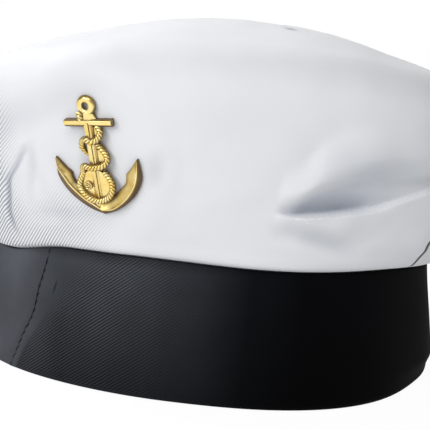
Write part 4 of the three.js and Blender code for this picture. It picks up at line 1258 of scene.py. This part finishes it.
# %% White twill
# Where the ribs show: from and to, and how clear they are there, first across and then upwards.
ribs_at_side = (-39 * mm, -26 * mm, 1.0, 0.03), (74 * mm, 92 * mm, 1.0, 0.0)
ribs_low_down = (-22 * mm, 4 * mm, 0.9, 0.03), (52 * mm, 61 * mm, 1.0, 0.0)
least_clear, pressed_clear = 0.005, 0.15
shade_tint, blotch_colour, thread_colour = (0.44, 0.47, 0.53), (0.40, 0.43, 0.50, 1), (0.045, 0.05, 0.06, 1)


def white_twill(name, light, painted_groove_shade):
    finish = Finish(name)
    ribs, stitches = twill_ribs(finish, 36, 0.95 * mm)
    blotches = finish.noise(finish.place["Object"], 34.0, 3.0)
    fuzz = finish.noise(finish.place["UV"], 2600.0)
    place = finish.add("ShaderNodeSeparateXYZ", Vector=finish.place["Object"]).outputs
    side, low_down = (finish.times(finish.fade(place[0], *across), finish.fade(place[2], *upwards))
                      for across, upwards in (ribs_at_side, ribs_low_down))
    clear = finish.maths("MAXIMUM", finish.maths("MAXIMUM", side, low_down), least_clear)
    clear = finish.times(clear, finish.fade(blotches, 0.35, 0.65, 0.6, 1.0))
    clear = finish.times(clear, finish.fade(finish.attribute("pressed"), 0.0, 1.0, 1.0, pressed_clear))
    # Painted shade: the colour darkens in the grooves between the ribs as far as the ribs are clear, and is
    # painted a little brighter where they are clear.
    grooves = finish.fade(ribs, 0.0, 0.68, 1.0, 0.0)
    tone = finish.mix(finish.times(grooves, clear), light, painted_groove_shade)
    tone = finish.scale(tone, finish.fade(clear, 0.0, 1.0, 1.0, 1.07))
    tone = finish.mix(finish.fade(blotches, 0.35, 0.75, 0.0, 0.06), tone, blotch_colour)
    shaded = finish.vector_maths("MULTIPLY", i0=tone, i1=shade_tint)[0]
    tone = finish.mix(finish.attribute("shade"), tone, shaded)
    finish.set(Base_Color=finish.mix(finish.attribute("thread"), tone, thread_colour),
               Roughness=finish.fade(fuzz, 0.2, 0.8, 0.82, 0.95),
               Sheen_Weight=0.10, Sheen_Roughness=0.6, Specular_IOR_Level=0.2)
    finish.emboss(cloth_relief(finish, ribs, stitches, fuzz, clear), 0.45, 0.09 * mm)
    return finish.material


white_cloth = white_twill("white_twill", (0.88, 0.885, 0.905, 1), (0.08, 0.10, 0.14, 1))
# The back panel's copy is darker and warmer: partly painted shade, partly the cloth's own warmer tone.
warm_shaded_cloth = white_twill("white_twill_shaded", (0.835, 0.83, 0.815, 1), (0.30, 0.30, 0.30, 1))
print("white cloths:", white_cloth.name, "and", warm_shaded_cloth.name)

# %% [markdown]
# Black cloth shows its ribs as thin grey lines: painted sheen on their tops and painted shade between
# them. Its colour follows a ramp across the cap that is painted light: greyer towards the wearer's right,
# where the light falls, and nearly black at the other side. Left of the join and beside it the ribs are
# pressed flat.

# %% Black twill
# The colour across the band, from one side at 0 to the other at 1, as painted light.
band_from, band_to = -50 * mm, 60 * mm
band_painted_light_ramp = [
    (0.10, (0.100, 0.107, 0.123)), (0.30, (0.057, 0.062, 0.072)), (0.43, (0.050, 0.054, 0.063)),
    (0.57, (0.041, 0.045, 0.052)), (0.70, (0.0225, 0.025, 0.030)), (0.82, (0.0050, 0.0056, 0.0074)),
    (0.95, (0.0014, 0.0014, 0.0022)),
]
line_colour = (0.001, 0.001, 0.0015, 1)
black = Finish("black_twill")
ribs, stitches = twill_ribs(black, 39, 0.83 * mm)
place = black.add("ShaderNodeSeparateXYZ", Vector=black.place["Object"]).outputs
blotches = black.noise(black.place["Object"], 45.0, 3.0)
fuzz = black.noise(black.place["UV"], 2200.0)
pressed = black.attribute("pressed")
# Darker towards the hem, in blotches, and in the narrow shadow under the crown.
low_down = black.fade(place[2], 2 * mm, 36 * mm, 0.34, 1.0)
low_down = black.maths("MAXIMUM", low_down, black.times(pressed, 0.75))
# Painted light: the band's colour follows the ramp across the cap, greyer where the light falls.
lit_band_tone = black.ramp(black.fade(place[0], band_from, band_to, 0.0, 1.0), band_painted_light_ramp)
for factor in (low_down, black.fade(blotches, 0.3, 0.7, 1.12, 0.74),
               black.fade(place[2], 36.5 * mm, 40 * mm, 1.0, 0.55)):
    lit_band_tone = black.scale(lit_band_tone, factor)
# Painted sheen on the ribs' tops and painted shade between them, clearest on the wearer's right, where the
# light falls, and faded where the ribs are pressed flat.
clear = black.times(black.fade(place[0], 0, 24 * mm, 1.0, 0.12), black.fade(pressed, 0.0, 1.0, 1.0, 0.06))
painted_rib_sheen_and_shade = black.fade(ribs, 0.1, 0.9, -0.58, 0.62)
tone = black.scale(lit_band_tone, black.maths("MULTIPLY_ADD", painted_rib_sheen_and_shade, clear, 1.0))
black.set(Base_Color=black.mix(black.attribute("line"), tone, line_colour),
          Roughness=black.fade(fuzz, 0.2, 0.8, 0.75, 0.9), Sheen_Weight=0.0, Specular_IOR_Level=0.05)
black.emboss(cloth_relief(black, ribs, stitches, fuzz, clear), 0.5, 0.10 * mm)
black_cloth = black.material

# %% Black thread
sewing = Finish("black_thread")
strands = sewing.noise(sewing.place["Object"], 4000.0)
sewing.set(Base_Color=sewing.mix(strands, line_colour, (0.010, 0.010, 0.012, 1)),
           Roughness=0.8, Specular_IOR_Level=0.1)
black_thread = sewing.material

# %% [markdown]
# The badge is bright metal with dark stain left in its hollows, and painted shade and painted dark
# reflection on its side faces and bevels, which is what makes such a small casting readable. A metal only
# mirrors its surroundings, so the brown is made less metallic and rougher: it lies on faces that look
# along the cloth, in the rope's grooves and on the bevels' lower corners.

# %% Gold
stain_and_shade_colour = (0.10, 0.045, 0.008, 1)
gold = Finish("gold_metal")
grain = gold.noise(gold.place["Object"], 900.0, 3.0)
patches = gold.noise(gold.place["Object"], 260.0)
tone = gold.mix(gold.fade(patches, 0.35, 0.7, 0.0, 1.0), (0.98, 0.80, 0.36, 1), (0.84, 0.58, 0.14, 1))
# Painted shade and painted dark reflection: faces that look along the cloth turn brown.
facing = gold.vector_maths("DOT_PRODUCT", i0=gold.place["Normal"], i1=tuple(seat_out))["Value"]
stain_and_shade = gold.maths("MAXIMUM", gold.fade(facing, 0.35, 0.78, 0.85, 0.0),
                   gold.fade(gold.attribute("stain_and_shade_share"), 0.1, 0.8, 0.0, 0.95))
gold.set(Base_Color=gold.mix(stain_and_shade, tone, stain_and_shade_colour), Metallic=gold.fade(stain_and_shade, 0.0, 1.0, 1.0, 0.25),
         Roughness=gold.maths("ADD", gold.fade(grain, 0.3, 0.7, 0.20, 0.34), gold.times(stain_and_shade, 0.2)))
gold.emboss(grain, 0.3, 0.05 * mm)
gold_metal = gold.material

# %% The catch's plain metal
catch = Finish("clutch_metal")
scuffs = catch.noise(catch.place["Object"], 500.0, 4.0)
catch.set(Base_Color=catch.mix(scuffs, (0.60, 0.52, 0.34, 1), (0.45, 0.38, 0.24, 1)), Metallic=1.0,
          Roughness=catch.fade(scuffs, 0.3, 0.7, 0.25, 0.45))
clutch_metal = catch.material
print("metals:", gold_metal.name, "and", clutch_metal.name)

# %% [markdown]
# ## Putting the cap together
# Each finished piece gets its material and rides on the cap's one body, and the plain piece of the model
# that it stands for is hidden.

# %% Materials, bodies and what each piece stands for
def finish_piece(piece, material, slot, *nodes):
    piece.data.materials.clear()
    piece.data.materials.append(material)
    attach(piece, "root")
    if nodes:
        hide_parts(*nodes)


finish_piece(crown_front, white_cloth, "white_twill", "crown_side_front")
finish_piece(crown_back, warm_shaded_cloth, "white_twill", "crown_side_back")
finish_piece(crown_top, white_cloth, "white_twill", "crown_top")
finish_piece(band_piece, black_cloth, "black_twill", "band")
finish_piece(join_stitches, black_thread, "black_twill")
for piece in badge_pieces:
    finish_piece(piece, gold_metal, "gold_metal", *(["badge"] if piece is arms else []))
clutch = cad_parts["badge_clutch"]
for holder in clutch.material_slots:
    holder.material = clutch_metal
